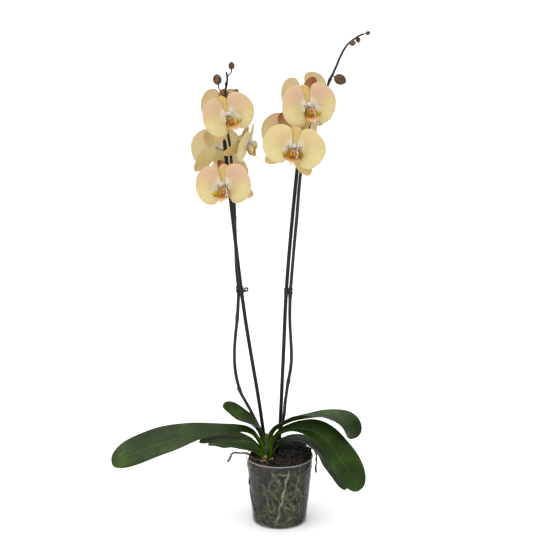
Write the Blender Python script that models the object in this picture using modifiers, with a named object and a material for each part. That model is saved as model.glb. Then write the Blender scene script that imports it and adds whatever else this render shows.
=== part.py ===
"""A moth orchid in a clear plastic pot: two staked flower spikes above two ranks of arching leaves.

Metres, +Z up. The origin is the middle of the pot's underside, and the show side faces -Y.
"""

import math

import bmesh
import bpy
from mathutils import Euler, Vector

MM = 0.001

# Driving dimensions
GAP = 0.3 * MM
POT_HEIGHT = 122 * MM
POT_WALL = 1.0 * MM
POT_FLOOR = 2.0 * MM
POT_STEPS = 48
# Outer radius of the pot at each height, in millimetres: a taper that steps in under the rim band
POT_OUTLINE = (
    (60.0, 122), (60.0, 119), (59.4, 118), (59.2, 101), (58.0, 97), (54.0, 50), (51.0, 25), (48.5, 0))
# Air slots: turn from the front in degrees, then height, width, length in mm, and slant in degrees
SLOTS = ((-77, 76, 5, 12, 0), (-66, 38, 3.5, 52, 23), (103, 76, 5, 12, 0), (114, 38, 3.5, 52, 23))
RIM_LIP = 1.2 * MM
DRAIN_RADIUS = 5 * MM
DRAIN_RING = 30 * MM
DRAIN_COUNT = 4
SLOT_DEPTH = 12 * MM
ROOT_GALLERY = 5.2 * MM
MEDIUM_TOP = 114 * MM
MEDIUM_EDGE = 112 * MM
BANK_CENTRE = (10, 40.5, 108)
BANK_RADII = (27, 8.5, 25)
WALL_ROOT_RADIUS = 1.8
SPIKE_RADIUS = 2.5
STAKE_RADIUS = 2.9
STAKE_POCKET = 3.4
PEDICEL_RADIUS = 1.3
CLIP_HEIGHT = 9 * MM
CLIP_WALL = 1.6 * MM
TEPAL_THICKNESS = 1.0 * MM
LEAF_THICKNESS = 2.0 * MM

# The short stem that every leaf and spike grows from: x, y, z and radius, in millimetres
CROWN = (
    (-23, -2, 100, 8.0), (-23, -2, 112, 9.0), (-23, -2, 128, 9.2), (-23, -2, 142, 8.6),
    (-23.5, -1.5, 150, 7.0), (-24, -1, 155, 4.6), (-24.5, -1, 158, 2.0),
)
CROWN_POCKET = 10 * MM

# Each leaf: the points of its midrib and half its greatest width in millimetres, the share of its
# length where it is widest, how far its front edge drops at foot and tip and how late it turns
# there, and how steeply its halves fold up at foot and tip, in degrees
LEAVES = {
    "leaf_left_upper": (
        ((-31.5, -5, 151), (-35, -7, 164), (-42, -11, 177), (-56, -19, 192.5), (-73, -26, 206.5),
         (-89, -31, 219), (-99, -34, 225)),
        22, 0.50, (12, 34), 1.0, (36, 12)),
    "leaf_left_long": (
        ((-33.9, -5, 142), (-40, -7, 154), (-49, -10, 165), (-68, -14, 171.5), (-110, -21, 171.5),
         (-158, -28, 166.5), (-206, -34, 156), (-248, -38, 141.5), (-278, -41, 129), (-293, -42, 121)),
        34, 0.70, (2, 38), 1.0, (34, 11)),
    "leaf_left_lower": (
        ((-34.4, -5, 127), (-41, -6, 138), (-54, -8, 149), (-72, -10, 155), (-95, -12, 157),
         (-118, -14, 156), (-142, -16, 151)),
        22, 0.56, (0, 4), 1.0, (32, 8)),
    "leaf_left_rim": (
        ((-32.3, 2.5, 118), (-42, 9, 123), (-55, 14, 127), (-76, 20, 131), (-98, 25, 133),
         (-116, 28, 133), (-129, 30, 130)),
        20, 0.56, (0, 6), 1.0, (24, 6)),
    "leaf_right_upper": (
        ((-15.5, -4.5, 152), (-13.5, -4.5, 161), (-7, -5.5, 171.5), (5, -7.5, 181), (24, -8, 189.5),
         (50, -9, 195), (76, -11, 197.5), (99, -15, 196.5), (116, -18, 190), (127, -20, 177), (130, -20, 159)),
        27, 0.70, (-18, 60), 3.5, (26, 10)),
    "leaf_right_front": (
        ((-13.9, -6.4, 145), (-7.5, -10, 158), (2, -14, 167), (16, -18, 173.5), (36, -22, 177),
         (57, -27, 174.5), (77, -32, 163.5), (95, -36, 144), (113, -38, 119), (129.5, -40, 93),
         (142, -41, 72)),
        32, 0.62, (4, 58), 1.3, (32, 12)),
    "leaf_right_back": (
        ((-12.2, 0, 124), (-6, 1, 135), (6, 2, 144), (22, 3, 148), (41, 3, 147), (61, 1, 137),
         (80, -1, 116), (97, -5, 92), (110, -8, 72), (119, -10, 60)),
        20, 0.56, (0, 30), 1.3, (26, 8)),
}
LEAF_FOOT = 8

# Plant stakes, from foot to top, in millimetres
STAKES = {
    "stake_left": ((-11, 13, 14), (-25, 16, 125), (-31, 16.5, 175), (-38.5, 15, 229), (-62, 9, 385),
                   (-83.5, 4, 578), (-93.5, 4, 684)),
    "stake_right": ((-13, 23, 14), (-5, 19, 118), (0, 18, 153), (6.5, 14, 300), (12.6, 7, 437),
                    (28, 4, 617), (43, 4, 741)),
}

# Flower spikes, from the crown to the growing tip, in millimetres
SPIKES = {
    "spike_left": (
        (-25.5, 7.4, 148), (-29, 9.6, 153), (-35, 9.5, 166), (-51, 5, 202), (-60, 3, 220), (-70, 2, 241),
        (-77.5, 1, 276), (-79, 1, 310), (-77, 3, 340), (-73.8, 7, 371), (-72, 11, 400), (-71.6, 12.5, 421),
        (-74.6, 13, 456), (-76, 12.5, 508), (-77, 10.5, 547), (-77.5, 9, 579), (-80, 7, 622), (-84, 5, 671),
        (-87.5, 3, 694), (-89.6, 2, 731), (-90.5, 0, 761), (-88.5, 0, 773), (-87.2, 0, 785), (-89, 0, 795)),
    "spike_right": (
        (-14.9, 4.2, 137), (-10, 6.5, 141), (-3.6, 8, 154), (3, 9.5, 172), (7.8, 9.5, 192), (10, 9, 217),
        (15, 8.5, 254), (19.8, 8, 283), (20.6, 8, 311), (17.8, 7, 366), (18.2, 6, 411), (20, 6, 437),
        (25, 5, 501), (29.5, 5, 553), (34.5, 4, 617), (42, 3, 664), (49.5, 1, 707), (62, 0, 740),
        (78, 0, 768), (82.3, 0, 780), (87, 0, 789), (93, 0, 802), (99, 0, 816.5), (105, 0, 829),
        (113.5, 0, 840.5), (123.5, 0, 848), (133, 0, 854), (140, 0, 856)),
}
SPIKE_TIP_RADIUS = 1.5
TAPER_FROM = 0.62
SPIKE_JOINTS = {"spike_left": (241, 371, 547), "spike_right": (254, 411)}

# Where a clip ties each spike to its stake, in millimetres above the floor
CLIP_LEVELS = {"left": 421, "right": 419}

# Each flower: its centre in millimetres, turn, nod and lean in degrees (0, 0, 0 faces -Y upright),
# its width and height against a 92 mm bloom, then the lean of its top sepal in degrees, the turn in
# degrees and half length in mm of its two lower sepals, and how far its sepals are swept back in
# degrees (its petals go back by PETAL_SWEEP of that), its spike, and the height of its stalk's foot
FLOWERS = (
    ("flower_left_1", (-85, -36, 726), (12, 0, -18), (0.94, 0.95),
     (-6, (-140, 25), (118, 21), 0), "spike_left", 718),
    ("flower_left_2", (-98, 36, 737), (192, 0, -2), (0.78, 0.8),
     (-6, (-140, 22), (140, 22), 0), "spike_left", 731),
    ("flower_left_3", (-109, 46, 663), (188, 0, 2), (0.94, 0.96),
     (32, (-168, 20), (132, 28.5), 0), "spike_left", 652),
    ("flower_left_4", (-53, -4, 677), (77, 14, -20), (0.84, 0.84),
     (0, (-120, 21), (122, 18), 40), "spike_left", 664),
    ("flower_left_5", (-93, -38, 610.5), (-12, 0, -5), (1.04, 1.0),
     (4, (-120, 21), (115, 25), 0), "spike_left", 600),
    ("flower_left_6", (-87, 25.5, 621), (172, 0, 34), (0.74, 0.84),
     (4, (-140, 22), (140, 22), 0), "spike_left", 606),
    ("flower_right_1", (47, -36, 741), (10, 0, -9), (0.98, 1.02),
     (-8, (-153, 25), (150, 20), 0), "spike_right", 720),
    ("flower_right_2", (42, 34, 758.5), (184, 0, 16), (0.86, 0.88),
     (-52, (-140, 22), (140, 22), 0), "spike_right", 735),
    ("flower_right_3", (16.5, 43, 693), (186, 0, 8), (1.04, 0.98),
     (17, (-140, 23), (140, 23), 0), "spike_right", 690),
    ("flower_right_4", (24, -50, 675), (-10, 0, 9), (1.13, 0.98),
     (-4, (-131, 27), (149, 26), 0), "spike_right", 655),
)
BLADE_COLUMNS = 24
BLADE_ROWS = 3
PETAL_LENGTH = 46.5
PETAL_STRETCH = 1.04
PETAL_FAN = 75
PETAL_TILT = 4
PETAL_SWEEP = 0.25
DORSAL_SEPAL = (17.5, 11.5)
LATERAL_WIDTH = 12.5
WHORL_HUB = 5.5

# Each bud: its spike, the height of its stalk's foot there (None at the tip), points along the
# stalk, the middle of its body, and its size against a 15 mm bud
BUDS = {
    "bud_left_1": ("spike_left", 750, ((-97, 3, 759), (-101.5, 4, 767)), (-104, 5, 781), 1.0),
    "bud_left_2": ("spike_left", 786, ((-81.5, 0, 792), (-80, 0, 796)), (-80, 0, 804), 0.72),
    "bud_left_3": ("spike_left", 745, ((-82, 8, 750), (-76, 11, 753)), (-73.5, 12, 759), 0.72),
    "bud_right_1": ("spike_right", 788, ((90, -3, 786), (92.5, -5, 785.5)), (99.5, -5, 782), 1.18),
    "bud_right_2": ("spike_right", 839, ((115, -5, 840), (116, -6, 840)), (119.5, -9, 841), 0.62),
    "bud_right_3": ("spike_right", 851, ((127.5, 4.5, 851), (128.5, 5.5, 849.5)), (129.5, 7, 846), 0.55),
    "bud_right_4": ("spike_right", None, ((141.5, 0, 856.4),), (145, 0, 857), 0.46),
}
BUD_STALK_RADIUS = 1.2
# A bud's body: distance along it and radius, in millimetres
BUD_BODY = ((-8.0, 1.6), (-7.0, 4.6), (-4.0, 7.0), (0.5, 7.6), (5.0, 6.2), (8.0, 3.6), (9.4, 0.9))

# Aerial roots, from the plant outwards: x, y, z in millimetres, and the radius
AERIAL_ROOTS = {
    "aerial_root_left": (
        ((-34, -12, 114.5), (-43, -15, 117.5), (-54, -18, 128.5), (-66, -19, 132.5), (-78, -20, 133),
         (-85, -20, 129.5), (-87, -20, 124), (-93, -20, 115)), 1.4),
    "aerial_root_right": (
        ((34, 17, 114.3), (45, 19, 118.0), (56.5, 20, 126.0), (63, 20, 122.5), (66.5, 20, 113.5),
         (66, 20, 106), (66.6, 20, 98), (65, 20, 90), (66.3, 20, 78)), 1.3),
    "aerial_root_across": (
        ((4, 28, 114.8), (13, 30, 114.7), (23, 28, 114.5), (33, 31, 114.2), (43, 28, 113.9)), 1.5),
}

# Roots against the pot's inside: turn from the front in degrees and height in millimetres
WALL_ROOTS = {
    "wall_root_left": ((3, 108), (-5, 104), (-11, 96), (-20, 84), (-25, 60), (-20, 38), (-7, 28)),
    "wall_root_middle": ((17, 106), (15, 97), (11, 86), (10, 67), (19, 52), (30, 46)),
    "wall_root_right": ((40, 104), (36, 88), (30, 76), (36, 64), (52, 58)),
    "wall_root_low": ((-14, 13), (0, 10), (14, 13), (26, 22)),
}


def material(name, colour, roughness, alpha=1.0):
    """A plain finish for one kind of piece."""
    finish = bpy.data.materials.new(name)
    finish.use_nodes = True
    shader = finish.node_tree.nodes["Principled BSDF"]
    shader.inputs["Base Color"].default_value = (*colour, 1.0)
    shader.inputs["Roughness"].default_value = roughness
    shader.inputs["Metallic"].default_value = 0.0
    shader.inputs["Alpha"].default_value = alpha
    return finish


def mm(point):
    """A point in millimetres as a vector in metres."""
    return Vector(point[:3]) * MM


def mesh_object(name, mesh, finish, group):
    """A new object with the given mesh and finish, in a collection."""
    piece = bpy.data.objects.new(name, mesh)
    mesh.materials.clear()
    mesh.materials.append(finish)
    group.objects.link(piece)
    return piece


def as_cutter(piece):
    """Keeps an object out of the model: it only shapes another."""
    piece.hide_render = True
    piece.display_type = "WIRE"


def boolean(piece, other, operation):
    """Cuts or joins a piece with a helper object."""
    change = piece.modifiers.new(operation.title(), "BOOLEAN")
    change.operation = operation
    change.object = other
    change.solver = "EXACT"


def smooth(points, steps):
    """Points of the Catmull-Rom curve through the given ones, with this many steps between neighbours."""
    ends = [points[0] * 2 - points[1], *points, points[-1] * 2 - points[-2]]
    curve = []
    for before, start, end, after in zip(ends, ends[1:], ends[2:], ends[3:]):
        for step in range(steps):
            t = step / steps
            curve.append(0.5 * (2 * start + (end - before) * t
                                + (2 * before - 5 * start + 4 * end - after) * t * t
                                + (3 * start - before - 3 * end + after) * t ** 3))
    return curve + [points[-1]]


def tube(name, points, radii, finish, group):
    """A round stem along the points, with a radius in millimetres at each one."""
    path = bpy.data.curves.new(name, "CURVE")
    path.dimensions = "3D"
    path.bevel_depth = MM
    path.bevel_resolution = 2
    path.use_fill_caps = True
    run = path.splines.new("POLY")
    run.points.add(len(points) - 1)
    for place, point, radius in zip(run.points, points, radii):
        place.co = (*point, 1.0)
        place.radius = radius
    path.materials.append(finish)
    piece = bpy.data.objects.new(name, path)
    group.objects.link(piece)
    return piece


def as_mesh(piece, group):
    """The same piece as a mesh with its end caps welded on, in place of the curve or modifiers."""
    bpy.context.view_layer.update()
    evaluated = piece.evaluated_get(bpy.context.evaluated_depsgraph_get())
    mesh = bpy.data.meshes.new_from_object(evaluated)
    shape = bmesh.new()
    shape.from_mesh(mesh)
    bmesh.ops.remove_doubles(shape, verts=shape.verts, dist=0.01 * MM)
    shape.to_mesh(mesh)
    shape.free()
    name = piece.name
    place = piece.matrix_world.copy()
    bpy.data.objects.remove(piece)
    solid = bpy.data.objects.new(name, mesh)
    solid.matrix_world = place
    group.objects.link(solid)
    return solid


def turned(name, outline, finish, group):
    """A turned solid from an outline that starts and ends on the axis and runs down its outer side."""
    mesh = bpy.data.meshes.new(name)
    mesh.from_pydata([(radius, 0, height) for radius, height in outline],
                     [(i, i + 1) for i in range(len(outline) - 1)], [])
    piece = mesh_object(name, mesh, finish, group)
    spin = piece.modifiers.new("Screw", "SCREW")
    spin.steps = POT_STEPS
    spin.render_steps = POT_STEPS
    spin.use_merge_vertices = True
    spin.merge_threshold = 0.01 * MM
    spin.use_smooth_shade = True
    return piece


def shaped_grid(name, columns, rows, place):
    """A mesh whose grid of points, u and v from -1 to 1, is put where place(u, v) says."""
    shape = bmesh.new()
    bmesh.ops.create_grid(shape, x_segments=columns, y_segments=rows, size=1.0)
    for vertex in shape.verts:
        vertex.co = place(vertex.co.x, vertex.co.y)
    bmesh.ops.remove_doubles(shape, verts=shape.verts, dist=0.05 * MM)
    mesh = bpy.data.meshes.new(name)
    shape.to_mesh(mesh)
    shape.free()
    mesh.shade_smooth()
    return mesh


def thicken(piece, thickness):
    """Gives a sheet its thickness, half to each side."""
    wall = piece.modifiers.new("Solidify", "SOLIDIFY")
    wall.thickness = thickness
    wall.offset = 0.0
    return piece


def pot_radius(height):
    """Outer radius of the pot's wall at a height, in metres."""
    level = height / MM
    for (above_r, above_z), (below_r, below_z) in zip(POT_OUTLINE, POT_OUTLINE[1:]):
        if level >= below_z:
            return MM * (below_r + (above_r - below_r) * (level - below_z) / (above_z - below_z))
    return POT_OUTLINE[-1][0] * MM


def make_pot(finish, group, cutters):
    """A thin clear wall with a stepped rim band, drain holes in its floor and air slots in its sides."""
    outer = [(radius * MM, height * MM) for radius, height in POT_OUTLINE]
    inner = [(radius - POT_WALL, height) for radius, height in reversed(outer[1:-1])]
    floor_edge = pot_radius(POT_FLOOR) - POT_WALL
    rim = [(outer[0][0] - RIM_LIP - POT_WALL, POT_HEIGHT - RIM_LIP), (outer[0][0] - RIM_LIP, POT_HEIGHT)]
    outline = [(0, POT_FLOOR), (floor_edge, POT_FLOOR), *inner, *rim, *outer, (0, 0)]
    pot = turned("pot", outline, finish, group)
    for index in range(DRAIN_COUNT):
        turn = 2 * math.pi * (index + 0.5) / DRAIN_COUNT
        across = Vector((math.cos(turn), math.sin(turn), 0))
        bpy.ops.mesh.primitive_cylinder_add(vertices=12, radius=DRAIN_RADIUS, depth=10 * POT_FLOOR,
                                            location=across * DRAIN_RING)
        cut_for(pot, bpy.context.object, f"drain_cutter_{index}", cutters)
    for index, (turn, height, width, length, slant) in enumerate(SLOTS):
        outward = math.radians(turn - 90)
        across = Vector((math.cos(outward), math.sin(outward), 0))
        bpy.ops.mesh.primitive_cube_add(
            size=1.0, location=across * pot_radius(height * MM) + Vector((0, 0, height * MM)),
            rotation=(math.radians(slant), 0, outward), scale=(SLOT_DEPTH, width * MM, length * MM))
        cut_for(pot, bpy.context.object, f"slot_cutter_{index}", cutters)
    return pot


def cut_for(piece, cutter, name, cutters):
    """Names a cutter, files it with the others and cuts the piece with it."""
    cutter.name = name
    for holder in list(cutter.users_collection):
        holder.objects.unlink(cutter)
    cutters.objects.link(cutter)
    as_cutter(cutter)
    boolean(piece, cutter, "DIFFERENCE")


def make_medium(finish, group, cutters):
    """The fill of bark, banked up at the back, with a pocket for the plant's foot and for each stake."""
    levels = [MEDIUM_EDGE, 97 * MM, 50 * MM, 25 * MM, POT_FLOOR + GAP]
    side = [(pot_radius(level) - POT_WALL - ROOT_GALLERY, level) for level in levels]
    medium = turned("growing_medium", [(0, MEDIUM_TOP), *side, (0, levels[-1])], finish, group)
    bpy.ops.mesh.primitive_uv_sphere_add(segments=16, ring_count=9, radius=1.0, location=mm(BANK_CENTRE),
                                         scale=mm(BANK_RADII))
    bank = bpy.context.object
    bank.name = "bank_cutter"
    for holder in list(bank.users_collection):
        holder.objects.unlink(bank)
    cutters.objects.link(bank)
    as_cutter(bank)
    boolean(medium, bank, "UNION")
    foot = mm(CROWN[0])
    depth = MEDIUM_TOP * 2
    bpy.ops.mesh.primitive_cylinder_add(vertices=20, radius=CROWN_POCKET, depth=depth,
                                        location=foot + Vector((0, 0, depth / 2 - GAP)))
    cut_for(medium, bpy.context.object, "crown_pocket_cutter", cutters)
    for name, points in STAKES.items():
        route = [mm(point) for point in points]
        below = route[0] + (route[0] - route[1]).normalized() * GAP
        pocket = tube(f"{name}_pocket_cutter", [below, *route[1:3]], [STAKE_POCKET] * 3, finish, cutters)
        cut_for(medium, as_mesh(pocket, cutters), f"{name}_pocket_cutter", cutters)
    return medium


def make_leaf(name, shape, finish, group):
    """A strap leaf: a trough at its foot that opens out and rounds off at its tip."""
    route, half_width, widest, drops, turn, folds = shape
    curve = smooth([mm(point) for point in route], 8)
    lengths = [0.0]
    for start, end in zip(curve, curve[1:]):
        lengths.append(lengths[-1] + (end - start).length)

    def along(u):
        """The midrib's point and direction at a share u of its length."""
        target = u * lengths[-1]
        index = max(i for i, length in enumerate(lengths[:-1]) if length <= target)
        span = curve[index + 1] - curve[index]
        share = (target - lengths[index]) / (lengths[index + 1] - lengths[index])
        return curve[index] + span * share, span.normalized()

    def place(u, v):
        u = (u + 1) / 2
        point, ahead = along(u)
        side = ahead.cross(Vector((0, 0, 1))).normalized()
        if side.y > 0:
            side = -side
        up = side.cross(ahead).normalized()
        if up.z < 0:
            up = -up
        rise = math.sin(math.pi / 2 * min(u / widest, 1.0)) ** 2
        fall = 1 - max(0.0, (u - widest) / (1 - widest)) ** 2.6
        width = MM * (LEAF_FOOT + (half_width - LEAF_FOOT) * rise) * math.sqrt(fall)
        drop = math.radians(drops[0] + (drops[1] - drops[0]) * u ** turn)
        fold = math.radians(folds[0] + (folds[1] - folds[0]) * min(1.0, u * 1.6))
        front = side * math.cos(drop) - up * math.sin(drop)
        above = up * math.cos(drop) + side * math.sin(drop)
        return point + front * (width * v * math.cos(fold)) + above * (width * abs(v) ** 1.3 * math.sin(fold))

    leaf = mesh_object(name, shaped_grid(name, 14, 6, place), finish, group)
    return thicken(leaf, LEAF_THICKNESS)


def make_crown(finish, group):
    """The plant's short upright stem."""
    return tube("crown", [mm(ring) for ring in CROWN], [ring[3] for ring in CROWN], finish, group)


def at_height(points, level):
    """The point of a rising path at a height in metres."""
    for start, end in zip(points, points[1:]):
        if start.z <= level <= end.z:
            return start.lerp(end, (level - start.z) / (end.z - start.z))
    return points[-1]


def spike_radius(name, share, height):
    """Radius in millimetres: it thins towards the tip and swells at each joint of the stem."""
    taper = max(0.0, (share - TAPER_FROM) / (1 - TAPER_FROM))
    radius = SPIKE_RADIUS + (SPIKE_TIP_RADIUS - SPIKE_RADIUS) * taper
    for joint in SPIKE_JOINTS[name]:
        radius += 0.5 * math.exp(-((height / MM - joint) / 6) ** 2)
    return radius


def spike_route(name):
    """The points of a spike and its radius in millimetres at each."""
    route = [mm(point) for point in SPIKES[name]]
    return route, [spike_radius(name, i / (len(route) - 1), point.z) for i, point in enumerate(route)]


def make_spike(name, finish, group, cutters):
    """A flower spike with the stalks of its open flowers joined on."""
    route, radii = spike_route(name)
    spike = as_mesh(tube(name, route, radii, finish, group), group)
    for flower, centre, turns, size, (*_, swept), owner, level in FLOWERS:
        if owner != name:
            continue
        back = flower_turn(turns).to_matrix() @ Vector((0, 1, 0))
        slant = math.tan(math.radians(swept))
        behind = (whorl_depth(0) + TEPAL_THICKNESS / 2 + slant * PEDICEL_RADIUS * MM) * size[0] + 2 * GAP
        foot = at_height(route, level * MM)
        neck = mm(centre) + back * (behind + 9 * MM)
        bend = foot.lerp(neck, 0.5) + Vector((0, 0, 3 * MM))
        stalk = smooth([foot, bend, neck, mm(centre) + back * behind], 2)
        stem = tube(f"{flower}_stalk", stalk, [PEDICEL_RADIUS] * len(stalk), finish, cutters)
        joined = as_mesh(stem, cutters)
        as_cutter(joined)
        boolean(spike, joined, "UNION")
    return spike


def make_clip(name, level, stake, spike, finish, group):
    """A clip: a plastic band round the stake and the spike."""
    lower = at_height(stake, level - CLIP_HEIGHT / 2)
    upper = at_height(stake, level + CLIP_HEIGHT / 2)
    middle = at_height(stake, level)
    up = (upper - lower).normalized()
    across = at_height(spike, level) - middle
    across -= up * across.dot(up)
    distance = across.length
    across.normalize()
    side = up.cross(across)
    big = (STAKE_RADIUS + 0.4) * MM
    small = (SPIKE_RADIUS + 1.2) * MM
    outline = []
    for radius, offset, start in ((big, 0.0, math.pi / 2), (small, distance, math.pi * 1.5)):
        for index in range(8):
            angle = start + math.pi * index / 7
            outline.append(across * (offset + radius * math.cos(angle)) + side * (radius * math.sin(angle)))
    band = bmesh.new()
    rings = []
    for height in (-CLIP_HEIGHT / 2, CLIP_HEIGHT / 2):
        rings.append([band.verts.new(middle + point + up * height) for point in outline])
    for index in range(len(outline)):
        after = (index + 1) % len(outline)
        band.faces.new((rings[0][index], rings[0][after], rings[1][after], rings[1][index]))
    mesh = bpy.data.meshes.new(name)
    band.to_mesh(mesh)
    band.free()
    clip = mesh_object(name, mesh, finish, group)
    wall = clip.modifiers.new("Solidify", "SOLIDIFY")
    wall.thickness = CLIP_WALL
    wall.offset = 1.0
    return clip


def whorl_depth(radius):
    """How far behind the flower's centre the sepals' middle surface lies, in metres."""
    return (1.0 + 0.0020 * (radius / MM) ** 2) * MM


def petal_depth(radius):
    """How far in front of the flower's centre the petals' middle surface lies, in metres."""
    return (0.3 + 0.0015 * (radius / MM) ** 2) * MM


def lobe(angle, half_length, half_width):
    """Reach of an oval lobe that starts at the centre and points along angle 0, in millimetres."""
    if math.cos(angle) <= 0:
        return 0.0
    across = (half_length * math.sin(angle)) ** 2 + (half_width * math.cos(angle)) ** 2
    return 2 * half_length * half_width ** 2 * math.cos(angle) / across


def sepals_mesh(aside, laterals, swept):
    """Three oval sepals on one hub: one up, two down to the sides, tips bent back."""
    slope = math.tan(math.radians(swept))

    def place(u, v):
        angle = math.pi * u
        reach = max(WHORL_HUB, lobe(angle - math.radians(aside), *DORSAL_SEPAL))
        for turn, half_length in laterals:
            away = math.remainder(angle - math.radians(turn), 2 * math.pi)
            reach = max(reach, lobe(away, half_length, LATERAL_WIDTH))
        radius = reach * MM * (v + 1) / 2
        across = radius * math.sin(angle)
        return Vector((across, whorl_depth(radius) + slope * abs(across), radius * math.cos(angle)))

    return shaped_grid("sepals", BLADE_COLUMNS, BLADE_ROWS, place)


def petals_mesh(swept):
    """Two broad rounded petals on one narrow hub, cupped a little forward."""
    slope = math.tan(math.radians(swept))

    def place(u, v):
        angle = math.pi * u
        reach = WHORL_HUB
        for centre in (math.radians(90 - PETAL_TILT), math.radians(PETAL_TILT - 90)):
            away = math.degrees(abs(math.remainder(angle - centre, 2 * math.pi)))
            if away < PETAL_FAN:
                reach = max(reach, PETAL_LENGTH * math.cos(math.radians(away * 90 / PETAL_FAN)) ** 0.2)
        radius = reach * MM * (v + 1) / 2
        across = radius * math.sin(angle)
        depth = slope * abs(across) - petal_depth(radius)
        return Vector((across, depth, PETAL_STRETCH * radius * math.cos(angle)))

    return shaped_grid("petals", BLADE_COLUMNS, BLADE_ROWS, place)


def lip_mesh(finish, group, cutters):
    """The lip and the column above it: a scoop with raised side lobes, joined under a blunt column."""
    rows = ((1.8, -1.0, 3.5), (8.0, -5.5, 13.0), (13.0, -13.0, 15.0), (14.5, -21.0, 12.0), (12.0, -29.0, 5.0))

    def place(u, v):
        share = (u + 1) / 2 * (len(rows) - 1)
        index = min(int(share), len(rows) - 2)
        ahead, height, width = (
            a + (b - a) * (share - index) for a, b in zip(rows[index], rows[index + 1]))
        bend = math.radians(80 * v)
        return mm((width * math.sin(bend), -ahead - 0.6 * width * (1 - math.cos(bend)), height))

    scoop = mesh_object("lip_cutter", shaped_grid("lip", 5, 5, place), finish, group)
    thicken(scoop, 1.6 * MM)
    scoop = as_mesh(scoop, group)
    bpy.ops.mesh.primitive_uv_sphere_add(segments=8, ring_count=5, radius=1.0, location=mm((0, -7.0, 1.0)),
                                         scale=(3.8 * MM, 5.6 * MM, 4.2 * MM))
    column = bpy.context.object
    column.name = "column_cutter"
    for holder in list(column.users_collection):
        holder.objects.unlink(column)
    cutters.objects.link(column)
    as_cutter(column)
    boolean(scoop, column, "UNION")
    joined = as_mesh(scoop, cutters)
    as_cutter(joined)
    return joined.data


def flower_turn(turns):
    """A flower's rotation: lean first, then nod, then turn about the vertical."""
    turn, nod, lean = (math.radians(angle) for angle in turns)
    return (Euler((0, 0, turn)).to_quaternion() @ Euler((nod, 0, 0)).to_quaternion()
            @ Euler((0, lean, 0)).to_quaternion())


def make_flowers(finishes, group, cutters):
    """Every open flower, as its sepals, its petals, and its lip with the column."""
    lip = lip_mesh(finishes["lip"], group, cutters)
    for flower, centre, turns, size, (aside, *laterals, swept), _, _ in FLOWERS:
        parts = {"sepals": sepals_mesh(aside, laterals, swept), "petals": petals_mesh(swept * PETAL_SWEEP),
                 "lip": lip}
        for kind, mesh in parts.items():
            piece = mesh_object(f"{flower}_{kind}", mesh, finishes[kind], group)
            piece.location = mm(centre)
            piece.rotation_mode = "QUATERNION"
            piece.rotation_quaternion = flower_turn(turns)
            piece.scale = (size[0], size[0], size[1])
            if kind != "lip":
                thicken(piece, TEPAL_THICKNESS)


def make_bud(name, owner, level, stalk, middle, size, finish, group):
    """A closed bud: a thin stalk that starts on the spike and swells into an egg-shaped body."""
    spine, radii = spike_route(owner)
    route = [mm(point) for point in stalk]
    centre = mm(middle)
    if level is None:
        start = spine[-1] + (route[0] - spine[-1]).normalized() * GAP
    else:
        foot = at_height(spine, level * MM)
        index = max(i for i, point in enumerate(spine[:-1]) if point.z <= level * MM)
        along = (spine[index + 1] - spine[index]).normalized()
        ahead = (route[0] - foot).normalized()
        slant = abs(ahead.dot(along))
        clear = max(radii[index:index + 2]) * MM + GAP + BUD_STALK_RADIUS * MM * slant
        start = foot + ahead * clear / math.sqrt(1 - slant ** 2)
    axis = (centre - route[-1]).normalized()
    body = [centre + axis * (distance * size * MM) for distance, _ in BUD_BODY]
    widths = [BUD_STALK_RADIUS] * (len(route) + 1) + [radius * size for _, radius in BUD_BODY]
    return tube(name, [start, *route, *body], widths, finish, group)


def make_wall_root(name, route, finish, group):
    """A root that runs down between the bark and the pot's wall."""
    points = []
    for turn, height in route:
        radius = pot_radius(height * MM) - POT_WALL - ROOT_GALLERY / 2
        angle = math.radians(turn)
        points.append(Vector((radius * math.sin(angle), -radius * math.cos(angle), height * MM)))
    curve = smooth(points, 3)
    seated = []
    for point in curve:
        radius = pot_radius(point.z) - POT_WALL - ROOT_GALLERY / 2
        flat = Vector((point.x, point.y, 0)).normalized() * radius
        seated.append(Vector((flat.x, flat.y, point.z)))
    return tube(name, seated, [WALL_ROOT_RADIUS] * len(seated), finish, group)


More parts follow.
